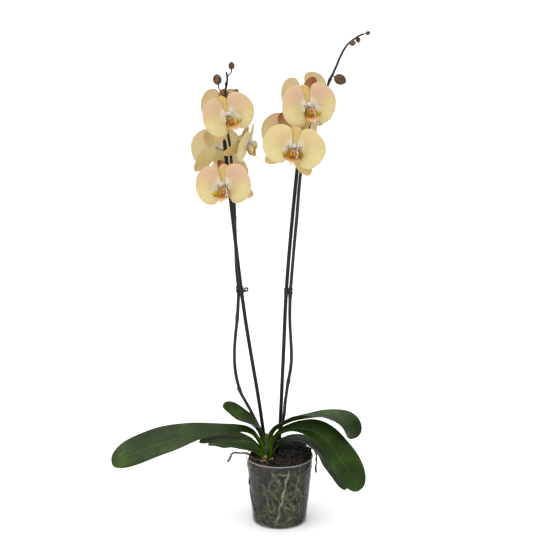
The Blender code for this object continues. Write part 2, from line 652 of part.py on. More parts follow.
def main():
    for old in list(bpy.data.objects):
        bpy.data.objects.remove(old)
    group = bpy.data.collections.new("potted_orchid")
    cutters = bpy.data.collections.new("cutters")
    bpy.context.scene.collection.children.link(group)
    bpy.context.scene.collection.children.link(cutters)

    clear = material("clear_polypropylene", (0.62, 0.63, 0.60), 0.25, 0.35)
    bark = material("pine_bark", (0.055, 0.030, 0.018), 0.9)
    leaf = material("leaf_skin", (0.035, 0.075, 0.022), 0.35)
    stem = material("spike_skin", (0.075, 0.045, 0.025), 0.55)
    root = material("root_skin", (0.16, 0.17, 0.09), 0.7)
    stake = material("stake_plastic", (0.010, 0.022, 0.022), 0.4)
    clip = material("clip_plastic", (0.008, 0.009, 0.010), 0.4)
    bud = material("bud_skin", (0.10, 0.06, 0.035), 0.5)
    blooms = {
        "sepals": material("sepal_skin", (0.62, 0.46, 0.17), 0.5),
        "petals": material("petal_skin", (0.75, 0.60, 0.33), 0.5),
        "lip": material("lip_skin", (0.80, 0.62, 0.35), 0.45),
    }

    make_pot(clear, group, cutters)
    make_medium(bark, group, cutters)
    make_crown(leaf, group)
    for name, shape in LEAVES.items():
        make_leaf(name, shape, leaf, group)
    stakes = {name: [mm(point) for point in points] for name, points in STAKES.items()}
    for name, points in stakes.items():
        tube(name, points, [STAKE_RADIUS] * len(points), stake, group)
    for name in SPIKES:
        make_spike(name, stem, group, cutters)
    for side, level in CLIP_LEVELS.items():
        spike, _ = spike_route(f"spike_{side}")
        make_clip(f"clip_{side}", level * MM, stakes[f"stake_{side}"], spike, clip, group)
    make_flowers(blooms, group, cutters)
    for name, (owner, level, stalk, middle, size) in BUDS.items():
        make_bud(name, owner, level, stalk, middle, size, bud, group)
    for name, (points, radius) in AERIAL_ROOTS.items():
        curve = smooth([mm(point) for point in points], 2)
        tube(name, curve, [radius] * len(curve), root, group)
    for name, route in WALL_ROOTS.items():
        make_wall_root(name, route, root, group)


main()
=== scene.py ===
"""A moth orchid in a clear nursery pot: metres, +Z up, the show side facing -Y."""
import math

import bpy
import numpy as np
from mathutils import Euler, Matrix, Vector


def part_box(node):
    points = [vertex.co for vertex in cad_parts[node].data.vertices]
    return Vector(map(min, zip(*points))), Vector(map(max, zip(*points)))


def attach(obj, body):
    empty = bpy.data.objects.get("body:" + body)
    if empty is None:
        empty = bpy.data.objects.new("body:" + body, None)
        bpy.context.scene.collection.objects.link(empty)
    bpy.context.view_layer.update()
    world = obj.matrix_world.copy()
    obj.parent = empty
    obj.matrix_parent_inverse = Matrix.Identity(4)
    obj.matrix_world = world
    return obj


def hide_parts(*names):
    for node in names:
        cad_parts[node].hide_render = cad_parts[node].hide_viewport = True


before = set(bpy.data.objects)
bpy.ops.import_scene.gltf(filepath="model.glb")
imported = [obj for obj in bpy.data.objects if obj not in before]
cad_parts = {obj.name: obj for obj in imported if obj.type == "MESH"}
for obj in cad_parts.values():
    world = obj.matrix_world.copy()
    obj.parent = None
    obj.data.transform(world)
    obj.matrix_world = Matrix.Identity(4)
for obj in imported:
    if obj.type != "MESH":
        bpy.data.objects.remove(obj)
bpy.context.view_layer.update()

# ------------------------------------------------------------------------------------------------
# The pot. A thin tapered nursery pot blown from clear polypropylene, a little hazed by moisture,
# with a thick rim, a stepped band under it, rings from its mould and slots in two of its sides. It
# is turned as one skin that leaves the slots out, and the wall gets its thickness last.

MM = 0.001


def linear(code):
    """An sRGB colour written as six hex digits, turned to the linear values that shaders use."""
    values = np.array([int(code[i:i + 2], 16) for i in (0, 2, 4)]) / 255
    low = values / 12.92
    high = ((values + 0.055) / 1.055) ** 2.4
    return (*np.where(values <= 0.04045, low, high).tolist(), 1.0)


def put(made, kind, links=None, stops=None, out=0, **settings):
    """Adds a node to a material or a world, with its settings, what feeds its inputs, and the stops of
    its colour ramp. Gives back one of its outputs."""
    node = made.node_tree.nodes.new("ShaderNode" + kind)
    for key, value in settings.items():
        setattr(node, key, value)
    for key, value in (links or {}).items():
        if isinstance(value, bpy.types.NodeSocket):
            made.node_tree.links.new(value, node.inputs[key])
        else:
            node.inputs[key].default_value = value
    if stops:
        ramp = node.color_ramp.elements
        while len(ramp) < len(stops):
            ramp.new(1.0)
        for spot, (place, colour) in zip(ramp, stops):
            spot.position = place
            spot.color = linear(colour) if isinstance(colour, str) else (colour, colour, colour, 1.0)
    return node.outputs[out]


def skin_of(name, **numbers):
    """A new material, with its shader's plain numbers set."""
    made = bpy.data.materials.new(name)
    made.use_nodes = True
    for key, value in numbers.items():
        made.node_tree.nodes["Principled BSDF"].inputs[key.replace("_", " ")].default_value = value
    return made


def coat(made, colour, *coats):
    """A colour with others laid over it in turn, each by its own share."""
    for share, shade in coats:
        over = linear(shade) if isinstance(shade, str) else shade
        colour = put(made, "Mix", {"Factor": share, "A": colour, "B": over}, out="Result",
                     data_type="RGBA")
    return colour


def surface(made, colour, height=None, strength=0.0, depth=0.0):
    """Feeds a material's shader its colour, and its normal from a height with a depth in metres."""
    shader = made.node_tree.nodes["Principled BSDF"]
    if colour is not None:
        made.node_tree.links.new(colour, shader.inputs["Base Color"])
    if height is not None:
        normal = put(made, "Bump", {"Height": height, "Strength": strength, "Distance": depth})
        made.node_tree.links.new(normal, shader.inputs["Normal"])


def grained(name, scale, detail, stops, relief=None, stretch=1.0, second=None, **numbers):
    """A material with an uneven grain that stays fixed to its piece and, where stretch is under one,
    is drawn out along Z. Stops turn the grain to colours. Second names a tone of the piece, and the
    stops or the colour it brings in. Relief is another grain and its bump's strength and depth."""
    made = skin_of(name, **numbers)
    where = put(made, "TexCoord", out="Object")
    drawn = put(made, "Mapping", {"Vector": where, "Scale": (1.0, 1.0, stretch)})
    grain = put(made, "TexNoise", {"Vector": drawn, "Scale": scale, "Detail": detail})
    colour = put(made, "ValToRGB", {"Fac": grain}, stops)
    if second:
        key, over = second
        if not isinstance(over, str):
            over = put(made, "ValToRGB", {"Fac": grain}, over)
        colour = coat(made, colour, (put(made, "Attribute", out="Fac", attribute_name=key), over))
    rough = relief and put(made, "TexNoise", {"Vector": drawn, "Scale": relief[0],
                                              "Detail": relief[1]})
    surface(made, colour, rough, *(relief or ())[2:])
    return made


def circle(count):
    """Even turns round a ring, in radians."""
    return 2 * np.pi * np.arange(count) / count


def spread(*axes):
    """Points of one grid from coordinates that are each given by row, by column or by both."""
    return np.stack(np.broadcast_arrays(*axes), -1)


def stand(name, mesh, skins, nodes=()):
    """Puts a mesh in the scene as a piece that rides on the root body."""
    for skin in skins:
        mesh.materials.append(skin)
    piece = bpy.data.objects.new(name, mesh)
    bpy.context.scene.collection.objects.link(piece)
    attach(piece, "root")
    if nodes:
        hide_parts(*nodes)
    return piece


def build(name, parts, skins, nodes=()):
    """One piece from grids of points in millimetres, rows along it and columns across. A loop joins
    its last column to its first; a round part does too, closes each end on its middle point and
    faces outwards. A grid's two coordinates become the UV map, and its tones become attributes."""
    names = sorted({key for part in parts for key in part.get("tones", {})})
    stores = {key: [] for key in ("points", "flat", *names)}
    faces, slots = [], []
    start = 0
    for part in parts:
        grid = np.asarray(part["points"], float)
        rows, columns, _ = grid.shape
        joined = part.get("round") or part.get("loop")
        across = 0.5 - 0.5 * np.cos(circle(columns)) if joined else np.linspace(0, 1, columns)
        flat = spread(across, np.linspace(0, 1, rows)[:, None])
        layers = {"points": grid, "flat": part.get("flat", flat)}
        for key in names:
            layers[key] = np.broadcast_to(part.get("tones", {}).get(key, 0.0), (rows, columns))
        ids = start + np.arange(rows * columns).reshape(rows, columns)
        after = np.roll(ids, -1, axis=1)
        quads = np.stack([ids[:-1], after[:-1], after[1:], ids[1:]], -1)
        quads = quads[:, :columns if joined else columns - 1].reshape(-1, 4)
        if "keep" in part:
            quads = quads[part["keep"].ravel()]
        groups, ends, turned = [quads], [], part.get("turned")
        start += rows * columns
        if part.get("round"):
            ends = [0, -1]
            groups += [np.stack([np.full(columns, start), after[0], ids[0]], -1),
                       np.stack([np.full(columns, start + 1), ids[-1], after[-1]], -1)]
            # The faces are turned round if they look at the middle of their part
            corners = quads[:, :3].T - ids[0, 0]
            a, b, c = (grid.reshape(-1, 3) - grid.reshape(-1, 3).mean(0))[corners]
            turned = np.einsum("ij,ij->i", np.cross(a, b), c).sum() < 0
            start += 2
        for key, values in layers.items():
            stores[key] += [values.reshape(rows * columns, *values.shape[2:]), values[ends].mean(1)]
        for group in groups:
            faces += (group[:, ::-1] if turned else group).tolist()
            slots += [part.get("skin", 0)] * len(group)
    mesh = bpy.data.meshes.new(name)
    mesh.from_pydata(np.vstack(stores["points"]) * MM, [], faces)
    corner = np.empty(len(mesh.loops), np.int32)
    mesh.loops.foreach_get("vertex_index", corner)
    blade = np.vstack(stores["flat"])[corner].astype(np.float32)
    mesh.uv_layers.new(name="blade").uv.foreach_set("vector", blade.ravel())
    for key in names:
        layer = mesh.attributes.new(key, "FLOAT", "POINT")
        layer.data.foreach_set("value", np.concatenate(stores[key]).astype(np.float32))
    mesh.polygons.foreach_set("material_index", np.array(slots, np.int32))
    mesh.shade_smooth()
    return stand(name, mesh, skins, nodes)


def wall(piece, thickness, backs=0):
    """Gives an open skin its thickness in millimetres, inwards. Its back may have its own material."""
    shell = piece.modifiers.new("wall", "SOLIDIFY")
    shell.thickness = thickness * MM
    shell.offset = -1.0
    shell.material_offset = backs
    shell.use_even_offset = False


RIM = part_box("pot")[1].x / MM
POT_WALL = 1.0
# Outer radius and height in millimetres, from the middle of the floor to the rim
POT_SIDE = np.array((
    (0.3, 0.0), (15, 0.0), (30, 0.0), (46.5, 0.0), (48.0, 0.6), (48.7, 2.2), (51, 25), (54, 50),
    (57.9, 96), (58.3, 98.4), (59.15, 100.6), (59.25, 103), (RIM - 0.6, 117.6), (RIM - 0.1, 118.6),
    (RIM, 119.6)))
# The air slots: each one's middle height, half height, and half width in degrees; a long one that
# slants and a short one over it, on two opposite sides
SLOTS = ((38, 24, 4.0), (76, 6, 6.5))
SLOT_SIDES = (-66, 114)
# Four round drain holes in the floor: their reach from its middle and their radius
DRAIN_REACH, DRAIN_RADIUS = 30, 5


def pot_radius(height):
    """Outer radius of the wall at a height, both in millimetres."""
    return np.interp(height, POT_SIDE[4:, 1], POT_SIDE[4:, 0])


def ring_points(turn, reach, level):
    """Points at turns from the front in radians, reaches and heights in millimetres."""
    return spread(reach * np.sin(turn), -reach * np.cos(turn), level)


def slot_slant(level):
    """How far round the slots' middle line has turned at a height, in degrees."""
    return np.interp(level, (14, 24, 52, 62), (12, 8.5, -8.5, -11))


def in_slot(off, level, more_turn=0.0, more_level=0.0):
    """True inside a slot or its margin, by degrees off the middle line and by height."""
    return np.any([(off < broad + more_turn) & (np.abs(level - middle) < tall + more_level)
                   for middle, tall, broad in SLOTS], axis=0)


# Clear film with a faint haze of dew: mid grey, softly glossy, most of what is behind shows
polypropylene = grained("blown_clear_polypropylene", 55.0, 5.0, ((0.3, "43443d"), (0.75, "64645d")),
                        (22.0, 2.0, 0.25, 0.002), Roughness=0.22, IOR=1.49, Alpha=0.13)

# The slots follow the columns of the skin: each ring is turned a little against the one below,
# which slants the long slots and changes nothing else
COLUMNS = 360
along_side = np.linspace(0, len(POT_SIDE) - 1, 99)[:, None]
steps, levels = (np.interp(along_side, np.arange(len(POT_SIDE)), POT_SIDE[:, k]) for k in (0, 1))
# Rings from the mould, about 20 mm apart
steps = steps + 0.12 * np.sin(levels / 3.1) * (levels > 6) * (levels < 96)
columns_at = np.arange(COLUMNS)[None] * 360 / COLUMNS
slant = slot_slant(levels)
side = ring_points(np.radians(columns_at + slant), steps, levels)
level_middle = (levels[:-1] + levels[1:]) / 2
column_middle = columns_at + 180 / COLUMNS
is_slot = in_slot(np.abs((column_middle - SLOT_SIDES[1] + 90) % 180 - 90), level_middle)
face_turn = np.radians(column_middle + (slant[:-1] + slant[1:]) / 2)
from_drain = np.hypot(np.abs(face_turn % (np.pi / 2) - np.pi / 4) * DRAIN_REACH,
                      (steps[:-1] + steps[1:]) / 2 - DRAIN_REACH)
is_drain = (from_drain < DRAIN_RADIUS) & (level_middle < 0.3)
open_side = {"points": side, "loop": True, "keep": ~(is_slot | is_drain)}
wall(build("pot_wall", [open_side], [polypropylene], ["pot"]), POT_WALL)

# The same plastic where it is thick, at the rim and the fold: a paler, milky line, partly the thicker
# plastic's haze and partly a painted highlight along rim and fold
rim_plastic_and_highlight = skin_of("thick_clear_rim_and_highlight", Roughness=0.25, IOR=1.49, Alpha=0.45,
                      Base_Color=linear("9a9b96"))
# The bead's half width and half height, and the height of its middle, in millimetres
BEAD_WIDE, BEAD_TALL, RIM_LEVEL = 0.7, 1.2, 120.4
bead = -circle(14)
rim = ring_points(circle(180)[:, None], RIM - 0.8 + BEAD_WIDE * np.cos(bead),
                  RIM_LEVEL + BEAD_TALL * np.sin(bead))
build("pot_rim", [{"points": np.concatenate([rim, rim[:1]]), "loop": True}], [rim_plastic_and_highlight])

# The film is folded along a line that runs on from the long front slot down to the floor: the share
# of its length, turn from the front in degrees and height
FOLD = np.array(((0, -86, 74), (0.35, -73, 46), (0.6, -57, 22), (0.8, -42, 9), (1, -20, 2.6)))
s = np.linspace(0, 1, 60)[:, None]
fold_turn, fold_level = (np.interp(s, FOLD[:, 0], FOLD[:, k]) for k in (1, 2))
fold = ring_points(np.radians(fold_turn), pot_radius(fold_level) + 0.45 * np.cos(circle(8)),
                   fold_level + 0.45 * np.sin(circle(8)))
# The fold's pale line is partly a painted highlight, where light catches the crease
build("pot_fold", [{"points": fold, "round": True}], [rim_plastic_and_highlight])

# Dew on the inside of the wall at its two sides, with painted sheen: a milky band brightest where the
# wall turns away at the pot's left and right, standing in for light on the wall seen at a grazing
# angle, and darkening to near black towards front and back
dew_and_sheen_film = skin_of("dew_and_edge_sheen_fog", Roughness=0.5, IOR=1.33, Alpha=0.36)
around = put(dew_and_sheen_film, "SeparateXYZ", {"Vector": put(dew_and_sheen_film, "UVMap", uv_map="blade")}, out="X")
fog = put(dew_and_sheen_film, "ValToRGB", {"Fac": around},
          stops=((0.0, "141411"), (0.3, "8a8982"), (0.52, "dad9d2"), (0.66, "b4b3aa"), (0.8, "5a5952"),
                 (1.0, "141411")))
surface(dew_and_sheen_film, fog)
fog_level = np.linspace(4, 110, 107)[:, None]
sheets = []
for first, last, slot_side in ((-150, -34, SLOT_SIDES[0]), (150, 44, SLOT_SIDES[1])):
    fog_at = np.linspace(first, last, 130)[None]
    clear = in_slot(np.abs(fog_at - slot_side - slot_slant(fog_level)), fog_level, 1.0, 0.5)
    sheets.append({"points": ring_points(np.radians(fog_at), pot_radius(fog_level) - POT_WALL - 0.25,
                                         fog_level), "turned": first > 0, "keep": ~clear[:-1, :-1]})
build("pot_dew_and_edge_sheen", sheets, [dew_and_sheen_film])

# Painted shade in the slots: near black sheets just inside them that stand in for the shadowed inside
# of the pot, with no shine
slot_shade_skin = grained("painted_slot_shade", 400.0, 4.0, ((0.4, "020201"), (0.8, "120d0a")), Roughness=1.0,
                   Specular_IOR_Level=0.0)
slot_shade_sheets = []
for slot_side in SLOT_SIDES:
    for middle, tall, broad in SLOTS:
        v = np.linspace(-1, 1, 41)[:, None]
        level = middle + tall * v
        across = np.linspace(-broad, broad, 13)[None] * np.sqrt(1 - 0.9 * v ** 8)
        slot_shade_sheets.append({"points": ring_points(np.radians(slot_side + across + slot_slant(level)),
                                           pot_radius(level) - 0.45, level), "turned": slot_side > 0})
# Sheets of painted shade behind each slot
build("painted_slot_shade_sheets", slot_shade_sheets, [slot_shade_skin])

# ------------------------------------------------------------------------------------------------
# The bark. Damp chipped pine bark fills the pot: a dark core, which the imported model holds, and
# loose chips over its top and between it and the wall. Each chip is an uneven six-sided flake.

chance = np.random.default_rng(11)
# A flake's length, width and thickness, as the least and greatest share of the layer's longest
FLAKE_SHARES = ((0.42, 1), (0.3, 0.6), (0.11, 0.24))


def flakes(centres, sizes, frames):
    """Six-sided flakes: two uneven rings and two middles each, moved by a frame of three axes."""
    count = len(centres)
    reach = 1 + 0.28 * chance.uniform(-1, 1, (count, 2, 6))
    ring = spread(reach * np.cos(circle(6)), reach * np.sin(circle(6)), 1.0)
    ring[:, 1, :, 2] = -1
    ring[..., 2] += 0.35 * chance.uniform(-1, 1, (count, 2, 6))
    ends = np.zeros((count, 2, 1, 3))
    ends[:, 0, 0, 2], ends[:, 1, 0, 2] = 1.25, -1.25
    points = np.concatenate([ring, ends], 2).reshape(count, 14, 3) * sizes[:, None]
    return (np.einsum("nij,nkj->nki", frames, points) + centres[:, None]).reshape(-1, 3)


def flake_faces(count):
    """Faces of those flakes: six sides as four-cornered faces, and six triangles on each end."""
    i, j = np.arange(6), (np.arange(6) + 1) % 6
    sides = np.stack([i, i + 7, j + 7, j], -1)
    top = np.stack([i, j, np.full(6, 6)], -1)
    foot = np.stack([i + 7, np.full(6, 13), j + 7], -1)
    hop = 14 * np.arange(count)[:, None, None]
    ends = np.stack([top, foot]).reshape(1, 12, 3)
    return (sides + hop).reshape(-1, 4).tolist() + (ends + hop).reshape(-1, 3).tolist()


# Layered dead bark: near black where damp, foxy red-brown where freshly broken, and fibrous. Its dark
# end is also painted shade in the bank behind the plant
bark = skin_of("chipped_pine_bark", Roughness=0.85)
age_and_shade = put(bark, "Attribute", out="Fac", attribute_name="age_and_shade")
where = put(bark, "TexCoord", out="Object")
layered = put(bark, "Mapping", {"Vector": where, "Scale": (1.0, 1.0, 3.0)})
# Fibre bands about 1.5 mm apart
grain = put(bark, "TexNoise", {"Vector": layered, "Scale": 330.0, "Detail": 6.0, "Roughness": 0.7})
blend = put(bark, "Math", {0: age_and_shade, 1: grain}, operation="ADD")
half = put(bark, "Math", {0: blend, 1: 0.5}, operation="MULTIPLY")
barky = put(bark, "ValToRGB", {"Fac": half},
            stops=((0.2, "050403"), (0.5, "100b08"), (0.68, "24160f"), (0.9, "50301f")))
surface(bark, barky, grain, 0.8, 0.0012)
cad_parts["growing_medium"].data.materials.clear()
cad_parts["growing_medium"].data.materials.append(bark)


def unit(vectors):
    """Vectors brought to length one."""
    return vectors / np.maximum(np.linalg.norm(vectors, axis=-1, keepdims=True), 1e-12)


def scatter(name, centres, up, longest, ages_and_shade):
    """One layer of flakes as one piece: laid flat to the given directions with random spins and sizes,
    each with its own age, which sets its colour and in the bank behind the plant is painted shade,
    and kept clear of the pot's floor and wall."""
    count = len(centres)
    up = unit(up)
    spin = unit(np.cross(up, chance.normal(size=(count, 3))))
    frames = np.stack([spin, np.cross(up, spin), up], -1)
    sizes = np.stack([chance.uniform(*shares, count) * longest for shares in FLAKE_SHARES], -1)
    points = flakes(centres, sizes, frames)
    points[:, 2] = np.maximum(points[:, 2], 2.4)
    reach = np.hypot(points[:, 0], points[:, 1])
    points[:, :2] *= np.minimum(1, (pot_radius(points[:, 2]) - POT_WALL - 0.7) / reach)[:, None]
    mesh = bpy.data.meshes.new(name)
    mesh.from_pydata(points * MM, [], flake_faces(count))
    layer = mesh.attributes.new("age_and_shade", "FLOAT", "POINT")
    layer.data.foreach_set("value", np.repeat(ages_and_shade, 14).astype(np.float32))
    stand(name, mesh, [bark])


# How many flakes lie on top, with as many in the bank, and at the wall; the bark's level and reach
TOP_FLAKES, WALL_FLAKES = 430, 900
BARK_LEVEL, BARK_REACH = 114.5, 55

top_turn = chance.uniform(0, 2 * np.pi, TOP_FLAKES)
top_reach = BARK_REACH * np.sqrt(chance.uniform(0.0, 1.0, TOP_FLAKES))
heap = ring_points(top_turn, top_reach, BARK_LEVEL + chance.uniform(-2.0, 3.4, TOP_FLAKES))
heap = heap[np.hypot(heap[:, 0] + 23, heap[:, 1] + 2) > 13]
scatter("bark_chips_top", heap, chance.normal(0, 0.45, (len(heap), 3)) + (0, 0, 1), 7.2,
        chance.uniform(0.15, 1.0, len(heap)))

# The bank behind the plant: its crest by the turn from the front. Its chips keep to the dark end of
# the bark's colours as painted shade, for the shadowed mass under the right back leaf
bank_turn = chance.uniform(np.radians(88), np.radians(208), TOP_FLAKES)
crest = np.interp(np.degrees(bank_turn), (88, 100, 120, 150, 178, 208),
                  (120, 128, 130, 133, 131, 119))
bank_share = chance.uniform(0.0, 1.0, TOP_FLAKES)
bank = ring_points(bank_turn, BARK_REACH - 14 * bank_share, 112 + (crest - 112)
                   * (1 - bank_share ** 1.3) * chance.uniform(0.55, 1.0, TOP_FLAKES))
scatter("bark_chips_bank", bank, chance.normal(0, 0.6, (TOP_FLAKES, 3)) + (0, -0.3, 0.8), 7.0,
        chance.uniform(0.0, 0.5, TOP_FLAKES) ** 1.3)

wall_turn = chance.uniform(0, 2 * np.pi, WALL_FLAKES)
wall_level = chance.uniform(5.0, 114.0, WALL_FLAKES)
wall_reach = pot_radius(wall_level) - POT_WALL - chance.uniform(3.3, 4.6, WALL_FLAKES)
packed = ring_points(wall_turn, wall_reach, wall_level)
scatter("bark_chips_at_wall", packed,
        ring_points(wall_turn, 1.0, 0.0) + chance.normal(0, 0.18, (WALL_FLAKES, 3)), 8.0,
        chance.uniform(0.0, 1.0, WALL_FLAKES) ** 1.3)

# ------------------------------------------------------------------------------------------------
# The roots. Fleshy orchid roots, olive where they are wet against the wall and grey-brown where
# they climb out over the rim. Each is a round cord of uneven thickness along a smooth path.


def follow(points, count):
    """Even steps along the smooth (Catmull-Rom) curve that passes through the points."""
    points = np.asarray(points, float)
    fence = np.vstack([2 * points[0] - points[1], points, 2 * points[-1] - points[-2]])
    t = np.linspace(0, 1, 24, endpoint=False)[None, :, None]
    a, b, c, d = (fence[k:len(fence) - 3 + k, None] for k in range(4))
    curve = 0.5 * (2 * b + (c - a) * t + (2 * a - 5 * b + 4 * c - d) * t ** 2
                   + (3 * b - a - 3 * c + d) * t ** 3)
    curve = np.vstack([curve.reshape(-1, 3), points[-1:]])
    reach = np.r_[0, np.cumsum(np.linalg.norm(np.diff(curve, axis=0), axis=1))]
    even = np.linspace(0, reach[-1], count)
    return np.stack([np.interp(even, reach, curve[:, k]) for k in range(3)], 1)


def cord(path, radii, around=14, guide=(0.0, 1.0, 0.0)):
    """Rings of points round a path: each ring stands square to it, turned to a guide direction."""
    ahead = unit(np.gradient(path, axis=0))
    side = unit(np.cross(ahead, np.asarray(guide, float)))
    up = np.cross(side, ahead)
    turn = circle(around)
    radii = np.asarray(radii, float)
    radii = np.broadcast_to(radii[:, None] if radii.ndim == 1 else radii, (len(path), around))
    ring = np.cos(turn)[None, :, None] * side[:, None] + np.sin(turn)[None, :, None] * up[:, None]
    return path[:, None] + radii[..., None] * ring


def tube(path, radii, around=14, guide=(0.0, 1.0, 0.0), **more):
    """A closed cord as a part of a piece."""
    return {"points": cord(path, radii, around, guide), "round": True, **more}


def rounded(count, start=0.12, end=0.12):
    """Share of full radius along a cord: it rounds off over the given shares of its two ends."""
    s = np.linspace(0, 1, count)
    first = np.sqrt(np.clip(1 - (1 - np.clip(s / start, 0, 1)) ** 2, 0.0, 1))
    final = np.sqrt(np.clip(1 - (1 - np.clip((1 - s) / end, 0, 1)) ** 2, 0.0, 1))
    return np.clip(first * final, 0.05, 1)


def root_skin(name, *shades):
    """Spongy root skin: mottled and dull, from its dark to its light patches."""
    return grained(name, 90.0, 5.0, tuple(zip((0.34, 0.5, 0.7), shades)), (700.0, 4.0, 0.5, 0.0006),
                   Roughness=0.6)


wet_root = root_skin("wet_velamen", "252d14", "3f4a24", "737a48")
dry_root = root_skin("dry_velamen", "5c5448", "857b6c", "a59a86")
brown_root = root_skin("old_brown_root", "2e2419", "53432f", "77644a")

# Each root against the wall: turn from the front in degrees and height in millimetres
WALL_ROOTS = {
    "wall_root_left": ((3, 108), (-5, 104), (-11, 96), (-20, 84), (-25, 60), (-20, 38), (-7, 28)),
    "wall_root_middle": ((17, 106), (15, 97), (11, 86), (10, 67), (19, 52), (30, 46)),
    "wall_root_right": ((40, 104), (36, 88), (30, 76), (36, 64), (52, 58)),
    "wall_root_low": ((-14, 13), (0, 10), (14, 13), (26, 22)),
}
# More roots of the same kind all round the pot
OTHER_ROOTS = (
    ((-9, 98), (-3, 88), (8, 76), (24, 70), (38, 74)), ((-2, 110), (8, 104), (22, 106), (34, 100)),
    ((-16, 110), (-6, 100), (2, 84), (12, 78)), ((20, 92), (28, 84), (44, 88), (58, 82)),
    ((12, 60), (22, 56), (34, 62), (48, 60)), ((-30, 66), (-16, 58), (-10, 46), (-14, 30)),
    ((2, 66), (14, 62), (26, 46), (38, 40)), ((10, 30), (22, 22), (40, 20)),
    ((-8, 22), (4, 8), (20, 7), (34, 12)),
    ((-26, 26), (-12, 20), (0, 22)), ((44, 70), (50, 52), (44, 34), (50, 18)),
    ((-34, 78), (-27, 64), (-22, 50)),
    ((-32, 44), (-22, 34), (-8, 32), (3, 40)),
    ((6, 52), (16, 40), (30, 33), (40, 36)),
    ((8, 44), (14, 32), (32, 26)),
    ((34, 50), (40, 66), (34, 82)),
    ((-40, 100), (-48, 80), (-44, 58), (-54, 36)),
    ((58, 98), (66, 78), (60, 56), (72, 34), (66, 16)),
    ((84, 106), (92, 84), (104, 70), (98, 46), (110, 28)),
    ((120, 100), (128, 86), (120, 62), (134, 44), (150, 36)),
    ((150, 104), (156, 80), (170, 62), (166, 40), (178, 20)),
    ((184, 98), (196, 84), (190, 60), (204, 38), (222, 30)),
    ((214, 106), (222, 88), (236, 74), (230, 48), (242, 24)),
    ((252, 96), (262, 78), (256, 56), (270, 38)),
    ((280, 104), (290, 84), (286, 62), (298, 46), (312, 40)),
    ((100, 18), (124, 12), (146, 16)), ((200, 14), (226, 10), (248, 18)),
    ((268, 14), (292, 20), (308, 12)),
)
# One dry pale root that runs down the front from the rim
PALE_ROOT = ((16, 113), (14.5, 104), (12, 92), (8, 74), (4, 56), (0, 38), (-3, 22), (-4, 12))


def at_wall(route, count, inset, seed=0.0):
    """A smooth path through (turn, height) points, a set way inside the wall. It wanders a little."""
    route = np.asarray(route, float)
    path = follow(np.column_stack([route, np.zeros(len(route))]), count)
    s = np.linspace(0, 1, count) * len(route)
    turn = np.radians(path[:, 0] + 1.1 * np.sin(3.1 * s + seed) + 0.6 * np.sin(7.3 * s + 2 * seed))
    level = path[:, 1] + 1.0 * np.sin(3.7 * s + 3 * seed) + 0.5 * np.sin(8.9 * s + seed)
    reach = pot_radius(level) - POT_WALL - inset
    return ring_points(turn, reach, level)


def root(path, radius, seed):
    """A root: round, uneven along its length, rounded at its ends."""
    s = np.linspace(0, 1, len(path))
    uneven = 1 + 0.14 * np.sin(9 * s * np.pi + seed) + 0.1 * np.sin(23 * s * np.pi + 2 * seed)
    radial = np.column_stack([path[:, :2], np.zeros(len(path))]).mean(0)
    guide = unit(radial) if np.linalg.norm(radial) > 1 else (0.0, 1.0, 0.0)
    return tube(path, radius * uneven * rounded(len(path), 0.06, 0.08), 12, guide)


for index, (name, route) in enumerate(WALL_ROOTS.items()):
    build(name + "_skin", [root(at_wall(route, 70, 2.4, index), 2.2, index)], [wet_root], [name])
build("more_wall_roots", [root(at_wall(route, 64, 2.2, index), 1.3 + 0.35 * (index % 3), index)
                          for index, route in enumerate(OTHER_ROOTS)], [wet_root])
# Finer side roots that run every way over the bark, one long curl of a few legs each
twist = np.random.default_rng(29)
FINE_ROOTS, LEGS = 46, 5
fine_roots = []
for index in range(FINE_ROOTS):
    start = np.array((twist.uniform(-180, 180) if index % 2 else twist.uniform(-70, 70),
                      twist.uniform(12, 102)))
    heading = twist.uniform(-0.9, 0.9) + (np.pi if index % 3 == 0 else 0.0)
    aim = heading + twist.uniform(-0.5, 0.5) * np.arange(LEGS)
    legs = np.column_stack([12.0 * np.cos(aim), 10.0 * np.sin(aim)])
    route = start + np.vstack([(0, 0), np.cumsum(legs, axis=0)])
    route[:, 1] = np.clip(route[:, 1], 7, 110)
    fine_roots.append(root(at_wall(route, 56, 1.6 + 0.5 * twist.random(), index),
                           twist.uniform(0.6, 1.15), index))
build("fine_wall_roots", fine_roots, [wet_root])
build("pale_front_root", [root(at_wall(PALE_ROOT, 70, 1.5), 1.7, 3)], [dry_root])

# Each aerial root: points along it, from the plant outwards, and its radius, in millimetres
AERIAL_ROOTS = {
    "aerial_root_left": (
        ((-33, -11, 112), (-43, -15, 117.5), (-54, -18, 128.5), (-66, -19, 132.5), (-78, -20, 133),
         (-85, -20, 129.5), (-87, -20, 124), (-93, -20, 115)), 1.4),
    "aerial_root_right": (
        ((34, 17, 112), (45, 19, 118.0), (56.5, 20, 126.0), (63, 20, 122.5), (66.5, 20, 113.5),
         (66, 20, 106), (66.6, 20, 98), (65, 20, 90), (66.3, 20, 78)), 1.3),
    "aerial_root_across": (
        ((3, 28, 113), (13, 30, 114.7), (23, 28, 114.5), (33, 31, 114.2), (44, 28, 112.9)), 1.5),
}
for index, (name, (points, radius)) in enumerate(AERIAL_ROOTS.items()):
    path = follow(points, 80)
    path[:, 2] += 0.7 * np.sin(np.linspace(0, 19, 80) + index)
    tip = np.exp(-((np.linspace(0, 1, 80) - 0.94) / 0.04) ** 2)
    knobbly = 1.3 + 0.16 * np.sin(np.linspace(0, 31, 80)) + 0.35 * tip
    build(name + "_skin", [tube(path, radius * knobbly * rounded(80, 0.04, 0.06), 12)], [brown_root],
          [name])

# ------------------------------------------------------------------------------------------------
# The leaves. Thick fleshy straps in two ranks, glossy and dark green, bright at the foot, each
# folded to a trough at the crown and opening to a blade with a sunk midrib. One closed skin each.


